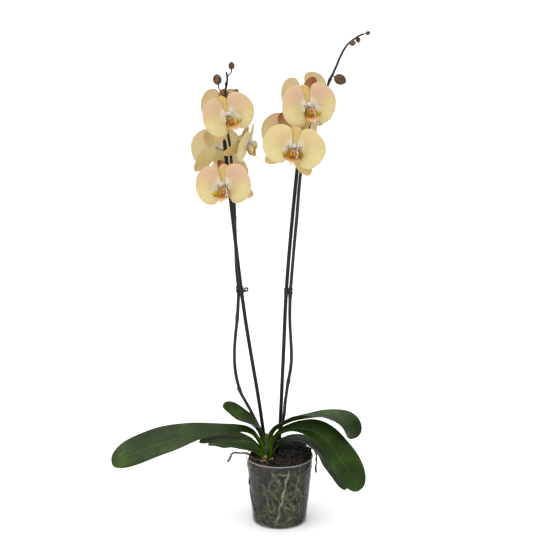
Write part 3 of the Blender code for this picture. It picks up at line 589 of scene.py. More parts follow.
def leaf_material(name, deep, mid, sheen, gloss):
    """Waxy leaf skin: parallel veins under a thin gloss, a paler midrib line, bright at the foot."""
    made = skin_of(name, Roughness=0.36, IOR=1.45, Specular_IOR_Level=gloss)
    place = put(made, "UVMap", uv_map="blade")
    where = put(made, "TexCoord", out="Object")
    # Veins about 1.2 mm apart across the blade, running its whole length
    lines = put(made, "Mapping", {"Vector": place, "Scale": (46.0, 2.5, 1.0)})
    veins = put(made, "TexNoise", {"Vector": lines, "Scale": 1.0, "Detail": 3.0})
    mottle = put(made, "TexNoise", {"Vector": where, "Scale": 26.0, "Detail": 4.0})
    mixed = put(made, "Math", {0: veins, 1: 0.35, 2: mottle}, operation="MULTIPLY_ADD")
    green = put(made, "ValToRGB", {"Fac": mixed}, ((0.45, deep), (0.75, mid), (0.95, sheen)))
    across = put(made, "SeparateXYZ", {"Vector": place}, out="X")
    off = put(made, "Math", {0: across, 1: 0.5}, operation="SUBTRACT")
    away = put(made, "Math", {0: off}, operation="ABSOLUTE")
    line = put(made, "MapRange", {"Value": away, "From Min": 0.006, "From Max": 0.024,
                                  "To Min": 0.26, "To Max": 0.0})
    foot = put(made, "Attribute", out="Fac", attribute_name="foot")
    fine = put(made, "TexNoise", {"Vector": where, "Scale": 900.0, "Detail": 2.0})
    height = put(made, "Math", {0: fine, 1: 0.25, 2: veins}, operation="MULTIPLY_ADD")
    surface(made, coat(made, green, (line, "4e6a2a"), (foot, "42590f")), height, 0.22, 0.0012)
    return made


leaf_skin = leaf_material("waxy_leaf", "121d04", "223508", "374f14", 0.2)
# A lit copy of the leaf skin for the two low leaves on the left: less gloss and a lighter green, set
# for how these leaves catch the light
lit_copy_leaf_skin = leaf_material("leaf_copy_set_for_light", "182606", "2a400a", "405c18", 0.07)

UP = np.array((0.0, 0.0, 1.0))
CROWN_MIDDLE = np.array((-23.5, -2.0))
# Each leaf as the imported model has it: midrib points and half width in millimetres, the share of
# its length where it is widest, its front edge's drop at foot and tip and how late it turns, and
# the fold of its halves at foot and tip, in degrees
LEAVES = {
    "leaf_left_upper": (
        ((-31.5, -5, 151), (-35, -7, 164), (-42, -11, 177), (-56, -19, 192.5), (-73, -26, 206.5),
         (-89, -31, 219), (-99, -34, 225)),
        22, 0.50, (12, 34), 1.0, (36, 12)),
    "leaf_left_long": (
        ((-33.9, -5, 142), (-40, -7, 154), (-49, -10, 165), (-68, -14, 171.5), (-110, -21, 171.5),
         (-158, -28, 166.5), (-206, -34, 156), (-248, -38, 141.5), (-278, -41, 129), (-293, -42, 121)),
        34, 0.70, (2, 38), 1.0, (34, 11)),
    "leaf_left_lower": (
        ((-34.4, -5, 127), (-41, -6, 138), (-54, -8, 149), (-72, -10, 155), (-95, -12, 157),
         (-118, -14, 156), (-142, -16, 151)),
        22, 0.56, (0, 4), 1.0, (32, 8)),
    "leaf_left_rim": (
        ((-32.3, 2.5, 118), (-42, 9, 123), (-55, 14, 127), (-76, 20, 131), (-98, 25, 133),
         (-116, 28, 133), (-129, 30, 130)),
        20, 0.56, (0, 6), 1.0, (24, 6)),
    "leaf_right_upper": (
        ((-15.5, -4.5, 152), (-13.5, -4.5, 161), (-7, -5.5, 171.5), (5, -7.5, 181), (24, -8, 189.5),
         (50, -9, 195), (76, -11, 197.5), (99, -15, 196.5), (116, -18, 190), (127, -20, 177),
         (130, -20, 159)),
        27, 0.70, (-18, 60), 3.5, (26, 10)),
    "leaf_right_front": (
        ((-13.9, -6.4, 145), (-7.5, -10, 158), (2, -14, 167), (16, -18, 173.5), (36, -22, 177),
         (57, -27, 174.5), (77, -32, 163.5), (95, -36, 144), (113, -38, 119), (129.5, -40, 93),
         (142, -41, 72)),
        32, 0.62, (4, 58), 1.3, (32, 12)),
    "leaf_right_back": (
        ((-12.2, 0, 124), (-6, 1, 135), (6, 2, 144), (22, 3, 148), (41, 3, 147), (61, 1, 137),
         (80, -1, 116), (97, -5, 92), (110, -8, 72), (119, -10, 60)),
        20, 0.56, (0, 30), 1.3, (26, 8)),
}
# Half width of a leaf at its foot, and how thick it is
LEAF_FOOT = 9.5
LEAF_DEPTH = 2.2


def leaf(shape, seed, rows=160, columns=76):
    """A leaf's closed skin in millimetres. Across, v runs from edge to edge and back under. Its
    blade is as wide as a sine squared that rises to the widest place and then falls like a blunt
    ellipse; its halves lift with the fold, it tips by the drop, and a groove runs down the middle of
    its top. Under its foot the leaf goes on down the stem as a sheath that folds round it."""
    route, half_width, widest, drops, late, folds = shape
    route = np.asarray(route, float)
    outward = unit(np.r_[route[0, :2] - CROWN_MIDDLE, 0.0])
    tuck = [route[0] + outward * inset + (0, 0, down)
            for inset, down in ((-3.4, -27), (-2.2, -17), (-0.9, -8))]
    middle = follow(np.vstack([*tuck, route]), rows)
    reach = np.r_[0, np.cumsum(np.linalg.norm(np.diff(middle, axis=0), axis=1))]
    foot = reach[np.argmin(np.linalg.norm(middle - route[0], axis=1))]
    u = np.clip((reach - foot) / (reach[-1] - foot), 0, 1)
    under = np.clip((foot - reach) / foot, 0, 1)
    ahead = unit(np.gradient(middle, axis=0))
    flat_side = np.cross(unit((route[3] - route[0]) * (1, 1, 0)), UP)
    flat_side *= -np.sign(flat_side[1])
    side = np.cross(ahead, UP)
    level = np.linalg.norm(side, axis=1, keepdims=True)
    side = unit(side) * np.where(side[:, 1:2] > 0, -1.0, 1.0)
    side = unit(side * level + flat_side * (1 - level) ** 2)
    side = unit(side - ahead * (side * ahead).sum(1, keepdims=True))
    up = np.cross(side, ahead)
    towards = np.where(u[:, None] < 0.04, UP - outward, UP)
    up *= np.where((up * towards).sum(1, keepdims=True) < 0, -1.0, 1.0)
    rise = np.sin(np.pi / 2 * np.clip(u / widest, 0, 1)) ** 2
    fall = 1 - np.clip((u - widest) / (1 - widest), 0, 1) ** 2.6
    width = LEAF_FOOT + (half_width - LEAF_FOOT) * rise + 3.5 * under ** 0.7
    width = np.maximum(width * np.sqrt(np.clip(fall, 0.0, 1)), 0.15)
    drop = np.radians(drops[0] + (drops[1] - drops[0]) * u ** late)[:, None] * (1 - under[:, None])
    fold = np.radians(folds[0] + (folds[1] - folds[0]) * np.clip(1.6 * u, 0, 1)
                      + 34 * under ** 0.6)[:, None]
    front = side * np.cos(drop) - up * np.sin(drop)
    above = up * np.cos(drop) + side * np.sin(drop)
    v, lift = np.cos(circle(columns)), np.sin(circle(columns))
    calm = np.sin(np.pi * u)
    wave = 0.9 * np.outer(np.sin(2 * np.pi * (2.3 * u + seed)) * calm, np.abs(v) ** 3 * np.sign(v))
    wave += 0.5 * np.outer(np.sin(2 * np.pi * (3.7 * u + 2 * seed)) * calm, np.abs(v) ** 3)
    out = width[:, None] * v * np.cos(fold)
    rising = width[:, None] * np.abs(v) ** 1.3 * np.sin(fold) + wave
    slope = 1.3 * np.abs(v) ** 0.3 * np.tan(fold) * np.sign(v)
    thin = np.minimum(1.0, width / 6)[:, None]
    skin = LEAF_DEPTH / 2 * np.sign(lift) * np.abs(lift) ** 0.6 * thin
    groove = -1.0 * np.exp(-(v / 0.055) ** 2) * (lift > 0) * thin
    keel = -1.1 * np.exp(-(v / 0.10) ** 2) * (lift < 0) * thin
    skin = skin + groove + keel
    scale = 1 / np.sqrt(1 + slope ** 2)
    points = (middle[:, None] + (out - skin * slope * scale)[..., None] * front[:, None]
              + (rising + skin * scale)[..., None] * above[:, None])
    return {"points": points, "round": True, "flat": spread(v * 0.5 + 0.5, u[:, None]),
            "tones": {"foot": np.clip(1 - u / 0.13, 0, 1)[:, None] ** 1.2 * 0.9}}


for index, (name, shape) in enumerate(LEAVES.items()):
    skin = lit_copy_leaf_skin if name in ("leaf_left_lower", "leaf_left_rim") else leaf_skin
    build(name + "_blade", [leaf(shape, 0.37 * index)], [skin], [name])

# ------------------------------------------------------------------------------------------------
# The crown. The short stem that the leaves clasp: bright green overlapping leaf bases round a brown
# older sheath, with dry papery scraps of dead sheath left at its foot.

# Leaf sheath: green and waxy at its base, brown and dull where it is old, with strands up the stem
sheath = grained("leaf_sheath", 420.0, 3.0, ((0.3, "16240a"), (0.55, "263a0e"), (0.8, "45591f")),
                 (420.0, 3.0, 0.4, 0.0008), 0.12,
                 ("foot", ((0.3, "1a120e"), (0.55, "33241a"), (0.8, "54402e"))), Roughness=0.42,
                 IOR=1.45)

stem_path = follow(((-23, -2, 104), (-23, -2, 118), (-23, -2, 134), (-23.3, -2.5, 148),
                    (-24, -3, 163)), 50)
s = np.linspace(0, 1, 50)[:, None]
stem_reach = np.interp(s, (0, 0.2, 0.55, 0.8, 0.93, 1), (8.2, 8.4, 8.0, 7.4, 5.8, 1.5))
stem_reach = stem_reach * (1 + 0.07 * np.cos(2 * circle(40) + 5 * s))
scars = (np.abs((s * 5.2) % 1 - 0.5) < 0.07) * 0.35
stem_age = np.clip((s - 0.62) / 0.2, 0, 1) * 0.8 + np.clip(0.2 - s, 0, 1) * 3
build("crown_stem", [tube(stem_path, stem_reach - scars, 40, tones={"foot": stem_age})], [sheath],
      ["crown"])

# Dead sheath, dried to straw-coloured paper: dull and pale, with fibres
paper = grained("dry_sheath_paper", 260.0, 4.0, ((0.3, "8a6a3e"), (0.55, "cbb37c"), (0.8, "e6d7a6")),
                Roughness=0.7)
# Each scrap: its foot, its tip, and its half width, in millimetres
SCRAPS = (
    ((-36, -22, 115), (-24, -25, 121), 3.2), ((-33, -18, 113), (-20, -24, 116), 2.6),
    ((-42, -14, 115), (-31, -21, 119), 2.8), ((-28, -12, 114), (-24, -15, 127), 3.5),
    ((-17, -12, 114), (-12, -16, 122), 2.6), ((-34, 8, 114), (-38, 15, 122), 3.0),
)
SCRAP_PAPER = 0.35


def sheet(first, rows, columns):
    """The two directions of a sheet: u from first to one by row, v from minus one to one by column."""
    return np.linspace(first, 1, rows)[:, None], np.linspace(-1, 1, columns)[None]


scraps = []
for index, (foot, tip, half_width) in enumerate(SCRAPS):
    s, v = sheet(0, 14, 9)
    foot, tip = np.array(foot, float), np.array(tip, float)
    line = unit(tip - foot)
    wide = unit(np.cross(line, (0.2, -1.0, 0.3)))
    broad = half_width * np.sqrt(np.clip(1 - s ** 3, 0.02, 1)) * (1 + 0.15 * np.sin(9 * s + index))
    curl = 1.6 * v ** 2 + 1.2 * np.sin(5 * s + index) * v
    scraps.append({"points": foot + (tip - foot) * s[..., None] + (broad * v)[..., None] * wide
                   + curl[..., None] * np.cross(wide, line)})
wall(build("dry_sheath_scraps", scraps, [paper]), SCRAP_PAPER)

# ------------------------------------------------------------------------------------------------
# The stakes. Two smooth rods of dark teal-black plastic, pushed into the bark behind the leaves.

# Extruded plastic: satin, near black, with faint marks along the rod
rod = grained("extruded_stake_plastic", 600.0, 3.0, ((0.35, "060b0c"), (0.75, "10191b")),
              (600.0, 3.0, 0.15, 0.0004), 0.05, Roughness=0.42, Specular_IOR_Level=0.25)
STAKES = {
    "stake_left": ((-11, 13, 14), (-25, 16, 125), (-31, 16.5, 175), (-38.5, 15, 229), (-62, 9, 385),
                   (-83.5, 4, 578), (-93.5, 4, 684)),
    "stake_right": ((-13, 23, 14), (-5, 19, 118), (0, 18, 153), (6.5, 14, 300), (12.6, 7, 437),
                    (28, 4, 617), (43, 4, 741)),
}
STAKE_RADIUS = 3.3
stake_paths = {name: follow(points, 120) for name, points in STAKES.items()}
for name, path in stake_paths.items():
    build(name + "_rod", [tube(path, STAKE_RADIUS * rounded(120, 0.006, 0.006), 24)], [rod], [name])

# ------------------------------------------------------------------------------------------------
# The flower spikes. Two brown-olive living stems that climb behind the stakes, thin towards the tip,
# swell at joints that carry a small dry bract, and branch into the stalks of the open flowers.

# Living stem skin: brown and fibrous below, and paler and sappier in the flowers' stalks
spike_skin = grained("spike_skin", 380.0, 5.0, ((0.3, "120c08"), (0.55, "251b12"), (0.8, "4a3b29")),
                     (380.0, 5.0, 0.35, 0.0006), 0.18,
                     ("fresh", ((0.3, "5d4526"), (0.55, "8a7044"), (0.8, "b09a6a"))), Roughness=0.5,
                     Specular_IOR_Level=0.3)

SPIKES = {
    "spike_left": (
        (-25.5, 5.4, 142), (-29, 9.6, 153), (-35, 9.5, 166), (-51, 5, 202), (-60, 3, 220),
        (-70, 2, 241), (-77.5, 1, 276), (-79, 1, 310), (-77, 3, 340), (-73.8, 7, 371),
        (-72, 11, 400), (-71.6, 12.5, 421), (-74.6, 13, 456), (-76, 12.5, 508), (-77, 10.5, 547),
        (-77.5, 9, 579), (-80, 7, 622), (-84, 5, 671), (-87.5, 3, 694), (-89.6, 2, 731),
        (-90.5, 0, 761), (-88.5, 0, 773), (-87.2, 0, 785), (-89, 0, 795)),
    "spike_right": (
        (-16.9, 2.2, 132), (-10, 6.5, 141), (-3.6, 8, 154), (3, 9.5, 172), (7.8, 9.5, 192),
        (10, 9, 217), (15, 8.5, 254), (19.8, 8, 283), (20.6, 8, 311), (17.8, 7, 366),
        (18.2, 6, 411), (20, 6, 437), (25, 5, 501), (29.5, 5, 553), (34.5, 4, 617), (42, 3, 664),
        (49.5, 1, 707), (62, 0, 740), (78, 0, 768), (82.3, 0, 780), (87, 0, 789), (93, 0, 802),
        (99, 0, 816.5), (105, 0, 829), (113.5, 0, 840.5), (123.5, 0, 848), (133, 0, 854),
        (140, 0, 856)),
}
SPIKE_JOINTS = {"spike_left": (241, 371, 547, 773), "spike_right": (254, 411, 780)}

# Each open flower: centre in millimetres; turn, nod and lean in degrees; width and height against a
# 92 mm bloom; the lean of its top sepal, the turn and half length of its two lower ones, and how far
# its blades sweep back; its spike and the height of its stalk's foot there; then how pink and how
# yellow its petals are, how rusty and shaded its top sepal is (dark orange-brown on its back, partly
# its own flush and partly painted shade behind the front flowers), and how many degrees more its lip
# is turned
FLOWERS = {
    "flower_left_1": ((-85, -36, 726), (12, 0, -18), (0.94, 0.95), (-6, (-140, 25), (118, 21), 0),
                      "spike_left", 718, (0.85, 0.5, 0.35, 15)),
    "flower_left_2": ((-98, 36, 737), (192, 0, -2), (0.78, 0.8), (-6, (-140, 22), (140, 22), 0),
                      "spike_left", 731, (0.35, 0.7, 1.0, 0)),
    "flower_left_3": ((-109, 46, 663), (188, 0, 2), (0.94, 0.96), (32, (-168, 20), (132, 28.5), 0),
                      "spike_left", 652, (0.25, 0.7, 0.25, 0)),
    "flower_left_4": ((-53, -4, 677), (77, 14, -20), (0.84, 0.84), (0, (-120, 21), (122, 18), 40),
                      "spike_left", 664, (0.0, 1.0, 0.2, 0)),
    "flower_left_5": ((-93, -38, 610.5), (-12, 0, -5), (1.04, 1.0), (4, (-120, 21), (115, 25), 0),
                      "spike_left", 600, (0.95, 0.5, 0.4, -5)),
    "flower_left_6": ((-87, 25.5, 621), (172, 0, 34), (0.74, 0.84), (4, (-140, 22), (140, 22), 0),
                      "spike_left", 606, (0.3, 0.7, 1.0, 0)),
    "flower_right_1": ((47, -36, 741), (10, 0, -9), (0.98, 1.02), (-8, (-153, 25), (150, 20), 0),
                       "spike_right", 720, (0.95, 0.55, 0.3, 8)),
    "flower_right_2": ((42, 34, 758.5), (184, 0, 16), (0.86, 0.88), (-52, (-140, 22), (140, 22), 0),
                       "spike_right", 735, (0.3, 0.9, 1.0, 0)),
    "flower_right_3": ((16.5, 43, 693), (186, 0, 8), (1.04, 0.98), (17, (-140, 23), (140, 23), 0),
                       "spike_right", 690, (0.7, 0.4, 0.95, 0)),
    "flower_right_4": ((24, -50, 675), (-10, 0, 9), (1.13, 0.98), (-4, (-131, 27), (149, 26), 0),
                       "spike_right", 655, (0.15, 0.85, 0.0, 5)),
}


def bloom_turn(turns):
    """A flower's rotation: it leans, then nods, then turns about the upright."""
    turn, nod, lean = (math.radians(angle) for angle in turns)
    axes = ((0, 0, turn), (nod, 0, 0), (0, lean, 0))
    return np.linalg.multi_dot([np.array(Euler(axis).to_matrix()) for axis in axes])


# Radius of a spike at its foot, and how much thinner it is at its tip, in millimetres
SPIKE_RADIUS, SPIKE_THINS = 2.9, 1.2
spike_paths = {name: follow(points, 300) for name, points in SPIKES.items()}
for name, path in spike_paths.items():
    share = np.linspace(0, 1, 300)
    radius = SPIKE_RADIUS - SPIKE_THINS * np.clip((share - 0.62) / 0.38, 0, 1)
    for joint in SPIKE_JOINTS[name]:
        radius = radius + 0.6 * np.exp(-((path[:, 2] - joint) / 4.5) ** 2)
    radius = radius * (1 + 0.03 * np.sin(37 * share)) * rounded(300, 0.002, 0.004)
    parts = [tube(path, radius, 18, tones={"fresh": 0.0})]
    for joint in SPIKE_JOINTS[name]:
        spot = np.argmin(np.abs(path[:, 2] - joint))
        ahead = unit(path[spot + 3] - path[spot - 3])
        out = unit(np.cross(ahead, (0.0, 1.0, 0.0))) * (1 if joint % 2 else -1)
        s, v = (share[..., None] for share in sheet(0, 12, 9))
        bend = 1.25 * v * (1 - 0.75 * s ** 1.4)
        reach = 3.45 + 1.0 * s ** 2
        parts.append({"points": path[spot] + ahead * (s * 8 - 1.5) + out * reach * np.cos(bend)
                      + np.cross(ahead, out) * reach * np.sin(bend), "tones": {"fresh": 0.25}})
    for centre, turns, _, _, owner, level, _ in FLOWERS.values():
        if owner != name:
            continue
        back = bloom_turn(turns) @ (0.0, 1.0, 0.0)
        foot = path[np.argmin(np.abs(path[:, 2] - level))]
        neck = centre + back * 11
        stalk = follow((foot, (foot + neck) / 2 + (0, 0, 3.5), neck, centre + back * 0.6), 44)
        s = np.linspace(0, 1, 44)
        swell = 1.15 + 0.45 * np.exp(-((s - 1) / 0.1) ** 2) + 0.5 * np.exp(-(s / 0.07) ** 2)
        guide = unit(np.cross(stalk[-1] - stalk[0], (0.3, 0.2, 1.0)))
        fresh = np.clip(s * 1.5, 0.25, 1)[:, None]
        parts.append(tube(stalk, swell, 14, guide, tones={"fresh": fresh}))
    build(name + "_stem", parts, [spike_skin], [name])

# ------------------------------------------------------------------------------------------------
# The clips. Small spring claws moulded in black plastic: a sleeve round stake and spike, a hooked jaw
# and a finger ring.

# Moulded plastic: plain black with a fine satin skin
claw = skin_of("moulded_clip_plastic", Roughness=0.38, Specular_IOR_Level=0.35,
               Base_Color=linear("0b0c0d"))
where = put(claw, "TexCoord", out="Object")
satin = put(claw, "TexNoise", {"Vector": where, "Scale": 900.0, "Detail": 2.0})
surface(claw, None, satin, 0.12, 0.0003)


def at_level(path, level):
    """The point of a rising path at a height."""
    return np.array([np.interp(level, path[:, 2], path[:, k]) for k in range(3)])


# The sleeve's radius about the spike and about the stake, in millimetres
SLEEVE_AT_SPIKE, SLEEVE_AT_STAKE = 4.6, 4.3
for hand, level, mirror in (("left", 421.0, 1), ("right", 419.0, -1)):
    stake = at_level(stake_paths["stake_" + hand], level)
    spike = at_level(spike_paths["spike_" + hand], level)
    towards = unit((spike - stake) * (1, 1, 0))
    turn = circle(48)[:, None]
    far = np.cos(turn) > 0
    sleeve = (np.where(far, np.linalg.norm((spike - stake)[:2]), 0.0) * towards
              + np.where(far, SLEEVE_AT_SPIKE, SLEEVE_AT_STAKE)
              * (np.cos(turn) * towards + np.sin(turn) * np.cross(UP, towards)))
    # The sleeve's outline at heights up it, and how full it is there
    lift = np.array((-4.9, -4.7, -3.0, -2.8, 2.8, 3.0, 4.7, 4.9))[:, None, None]
    fat = np.array((0.96, 1.0, 1.0, 0.93, 0.93, 1.0, 1.0, 0.96))[:, None, None]
    ear = stake + ((8.6, -3.4, 1.6) if hand == "left" else (3.4, -6.6, 0.0))
    loop = np.linspace(0, 2 * np.pi, 40)
    finger_ring = ear + 2.7 * np.stack([np.cos(loop), 0.2 * np.sin(loop), np.sin(loop)], 1)
    arm = follow((stake + (2.0, -3.9, -2.8), stake + (4.0, -4.2, -2.2), ear + (-0.8, 0.4, -2.6)), 24)
    hook = ((-1.0, -3.9, 3.4), (4.2, -3.8, 4.4), (7.6, -3.0, 1.2), (7.0, -2.8, -3.4),
            (4.2, -3.9, -4.6))
    jaw = follow(stake + np.array(hook) * (-mirror, 1, 1), 40)
    build("clip_" + hand + "_claw", [
        {"points": stake + sleeve * fat + lift * UP, "round": True},
        tube(finger_ring, 1.55 * np.ones(40), 12), tube(arm, 1.6 * rounded(24, 0.1, 0.1), 10),
        tube(jaw, 1.2 * rounded(40, 0.05, 0.2), 10)],
        [claw], ["clip_" + hand])

# ------------------------------------------------------------------------------------------------
# The buds. Closed buds of folded sepals, brown-olive with paler blotches and dark seams, each on a
# thin stalk.

# Bud skin: a soft low gloss over blotched brown, with darker seams where the sepals meet
bud_skin = grained("closed_bud", 90.0, 4.0, ((0.3, "2f1f15"), (0.5, "472f1e"), (0.72, "6a5229")),
                   (800.0, 3.0, 0.2, 0.0004), second=("seam", "241913"), Roughness=0.5, IOR=1.4)

# Each bud: its spike and the height of its stalk's foot there, points along the stalk, the middle
# of its body, and its size against a 15 mm bud
BUDS = {
    "bud_left_1": ("spike_left", 750, ((-97, 3, 759), (-101.5, 4, 767)), (-104, 5, 781), 1.0),
    "bud_left_2": ("spike_left", 786, ((-81.5, 0, 792), (-80, 0, 796)), (-80, 0, 804), 0.72),
    "bud_left_3": ("spike_left", 745, ((-82, 8, 750), (-76, 11, 753)), (-73.5, 12, 759), 0.72),
    "bud_right_1": ("spike_right", 788, ((90, -3, 786), (92.5, -5, 785.5)), (99.5, -5, 782), 1.18),
    "bud_right_2": ("spike_right", 839, ((115, -5, 840), (116, -6, 840)), (119.5, -9, 841), 0.62),
    "bud_right_3": ("spike_right", 851, ((127.5, 4.5, 851), (128.5, 5.5, 849.5)), (129.5, 7, 846),
                    0.55),
    "bud_right_4": ("spike_right", 856, ((141.5, 0, 856.4),), (145, 0, 857), 0.46),
}
# A bud from its neck to its tip: distance from its middle and radius
BUD_BODY = np.array(((-8.6, 1.2), (-7.6, 3.6), (-6.0, 5.6), (-3.0, 7.2), (0.5, 7.6), (4.0, 6.8),
                     (7.0, 4.7), (8.8, 2.4), (9.5, 0.8)))

for index, (name, (owner, level, stalk, middle, size)) in enumerate(BUDS.items()):
    spine = spike_paths[owner]
    foot = spine[np.argmin(np.abs(spine[:, 2] - level))]
    route = np.vstack([foot, stalk, middle])
    axis = unit(route[-1] - route[-2])
    stem = follow(np.vstack([route[:-1], route[-1] - axis * 8.0 * size]), 24)
    stem_width = np.interp(np.linspace(0, 1, 24), (0, 0.15, 0.8, 1), (1.5, 1.15, 1.1, 1.5))
    s = np.linspace(BUD_BODY[0, 0], BUD_BODY[-1, 0], 44)[:, None]
    # Three seams run down it
    crease = np.exp(-(np.abs(np.cos(1.5 * circle(36) + index))[None] ** 0.5 / 0.30) ** 2)
    reach = np.interp(s, BUD_BODY[:, 0], BUD_BODY[:, 1]) * size * (1 - 0.10 * crease)
    guide = unit(np.cross(stem[-1] - stem[0], (0.3, 0.2, 1.0)))
    build(name + "_body", [
        tube(route[-1] + axis * s * size, reach, 36, (0.13, 1.0, 0.21), tones={"seam": crease * 0.85}),
        tube(stem, stem_width * min(1.0, size + 0.3), 12, guide, tones={"seam": 0.6})],
        [bud_skin], [name])

# ------------------------------------------------------------------------------------------------
# The flowers. Two broad round petals stand in front of three oval sepals. All five are thin soft
# blades, pink above, apricot in the middle and yellow outside, with fine veins from the centre. Each
# blade is a fan of points about the flower's middle, put in place by the flower's own turn.


def blade_skin(name, flush, body, outer, fleck, veins):
    """Soft petal skin: its colour runs from flush over body to outer by two tones, with fine veins."""
    made = skin_of(name, Roughness=0.55, IOR=1.4, Sheen_Weight=0.12, Sheen_Roughness=0.5)
    place = put(made, "UVMap", uv_map="blade")
    where = put(made, "TexCoord", out="Object")
    cloud = put(made, "TexNoise", {"Vector": where, "Scale": 70.0, "Detail": 4.0})
    wander = put(made, "MapRange", {"Value": cloud, "From Min": 0.3, "From Max": 0.7,
                                    "To Min": 0.75, "To Max": 1.2})
    pink, gold, pale = (put(made, "Attribute", out="Fac", attribute_name=key)
                        for key in ("pink", "gold", "pale"))
    rosy, more = (put(made, "Math", {0: tone, 1: wander}, operation="MULTIPLY", use_clamp=True)
                  for tone in (pink, gold))
    # Veins about 1.8 mm apart at the rim, which meet at the middle
    fan = put(made, "Mapping", {"Vector": place, "Scale": (veins, 1.3, 1.0)})
    line = put(made, "TexNoise", {"Vector": fan, "Scale": 1.0, "Detail": 2.0, "Distortion": 0.3})
    thin = put(made, "MapRange", {"Value": line, "From Min": 0.42, "From Max": 0.6,
                                  "To Min": 0.2, "To Max": 0.0})
    colour = coat(made, linear(body), (more, outer), (rosy, flush), (thin, fleck), (pale, "d6cdbb"))
    grain = put(made, "TexNoise", {"Vector": where, "Scale": 1300.0, "Detail": 2.0})
    height = put(made, "Math", {0: grain, 1: 0.15, 2: line}, operation="MULTIPLY_ADD")
    surface(made, colour, height, 0.3, 0.0008)
    return made


petal_front = blade_skin("petal_face", "be9681", "c6b07b", "cac087", "b4966a", 34.0)
petal_back = blade_skin("petal_back", "caa986", "d2be8d", "d4cb98", "bfa473", 34.0)
sepal_front = blade_skin("sepal_face", "c4965a", "c5a366", "c6b96f", "ad8850", 18.0)
# The backs' dark orange-brown flush is partly the sepals' own flush and partly painted shade on
# flowers that sit behind the front ones
sepal_back = blade_skin("sepal_back", "84441e", "c4a772", "c9bd7e", "a07c48", 18.0)

# A petal's reach in millimetres, half its fan in degrees, and its height against its width; and how
# thick the petals and sepals are
PETAL_REACH = 46.5
PETAL_FAN = 75.0
PETAL_STRETCH = 1.04
BLADE_THICKNESS = 0.6


def fade(value, low, high):
    """A smooth step from 0 at low to 1 at high."""
    t = np.clip((value - low) / (high - low), 0, 1)
    return t * t * (3 - 2 * t)


def petal(hand, sweep, seed, pink, gold):
    """One broad petal in the flower's own millimetres. It is a fan of points: u from the middle to the
    rim, v round the fan. The rim is a round arc that closes in at both ends and wavers a little; the
    blade bulges forward, its rim rolls back, and faint pleats run out from the middle."""
    u, v = sheet(0.05, 46, 60)
    turn = v * PETAL_FAN
    reach = PETAL_REACH * np.clip(np.cos(np.radians(turn * 90 / PETAL_FAN)), 0, 1) ** 0.2
    waver = 1 + 0.015 * np.sin(3.1 * v + seed) + 0.010 * np.sin(8 * v + 2 * seed)
    reach = np.maximum(reach * waver, 6.0)
    far = u * reach
    from_up = np.radians(86.0 - turn)
    x = far * np.sin(from_up)
    z = PETAL_STRETCH * far * np.cos(from_up)
    bulge = 0.3 + 4.6 * np.sin(np.pi * 0.78 * (far / PETAL_REACH) ** 1.15)
    roll = 1.6 * np.abs(v) ** 3 * u ** 2 + 1.0 * u ** 8
    pleat = 0.25 * u * np.sin(12 * v + seed) + 0.7 * u ** 5 * np.sin(4.3 * v + 1.7 * seed)
    slope = math.tan(math.radians(sweep))
    y = -(bulge - roll + pleat) + slope * x
    # Each petal stands on the side of the column, which leaves the top sepal in sight between them
    x = x + 2.0 * (1 - fade(far, 14, 34))
    rosy = fade(z, -8, 26) * (1 - 0.5 * fade(u, 0.6, 1.0)) + 0.2 * fade(u, 0.8, 1.0)
    yellow = 0.85 * fade(-z, -18, 20) + 0.3 * fade(u, 0.4, 0.8)
    light = 0.9 * (1 - fade(far, 5, 18)) + 0.1 * fade(u, 0.93, 1.0)
    return {"points": spread(hand * x, y, z), "turned": hand > 0,
            "tones": {"pink": pink * np.clip(rosy, 0, 1), "gold": gold * np.clip(yellow, 0, 1),
                      "pale": light}}


def sepal(lean, half_length, half_width, sweep, seed, rust_and_shade, gold):
    """One oval sepal in the flower's own millimetres: u runs out along its middle, v across. Its
    width is an ellipse's, it arches back with the square of its reach, and its middle has a keel."""
    u, v = sheet(0.03, 40, 26)
    along = 2 * half_length * u
    broad = half_width * np.sqrt(np.clip(1 - (2 * u ** 0.92 - 1) ** 2, 0.004, 1))
    across = broad * v * (1 + 0.03 * np.sin(7 * u + seed))
    aside = math.radians(lean)
    x = along * math.sin(aside) + across * math.cos(aside)
    z = along * math.cos(aside) - across * math.sin(aside)
    far = np.hypot(x, z)
    slope = math.tan(math.radians(sweep))
    y = (1.0 + 0.0020 * far ** 2 + 1.4 * v ** 2 * u - 0.7 * np.exp(-(v / 0.12) ** 2) * u
         + slope * np.abs(x) + 0.6 * u ** 3 * np.sin(3 * v + seed))
    # The pink tone carries the top sepal's rust and painted shade
    return {"points": spread(x, y, z),
            "tones": {"pink": rust_and_shade * (0.5 + 0.5 * u), "gold": gold * (1 - fade(u, 0.1, 0.75)) + 0.2,
                      "pale": 0.5 * (1 - fade(along, 1, 9))}}


def bloom(parts, centre, turns, size):
    """Puts a flower's parts in place: sized, turned and moved to its centre."""
    for part in parts:
        part["points"] = (part["points"] * (size[0], size[0], size[1])) @ bloom_turn(turns).T + centre
    return parts


for index, (name, (centre, turns, size, blades_at, _, _, tones)) in enumerate(FLOWERS.items()):
    aside, (left, left_half), (right, right_half), sweep = blades_at
    pink, gold, rust_and_shade, _ = tones
    blades = [petal(hand, 0.25 * sweep, index + hand, pink, gold) for hand in (1, -1)]
    wall(build(name + "_petal_pair", bloom(blades, centre, turns, size), [petal_front, petal_back],
               [name + "_petals"]), BLADE_THICKNESS, backs=1)
    blades = [sepal(aside, 17.5, 11.5, sweep, index, rust_and_shade, 0.8),
              sepal(right, right_half, 12.5, sweep, index + 1, 0.05, 0.95),
              sepal(left, left_half, 12.5, sweep, index + 2, 0.05, 0.95)]
    wall(build(name + "_sepal_set", bloom(blades, centre, turns, size), [sepal_front, sepal_back],
               [name + "_sepals"]), BLADE_THICKNESS, backs=1)

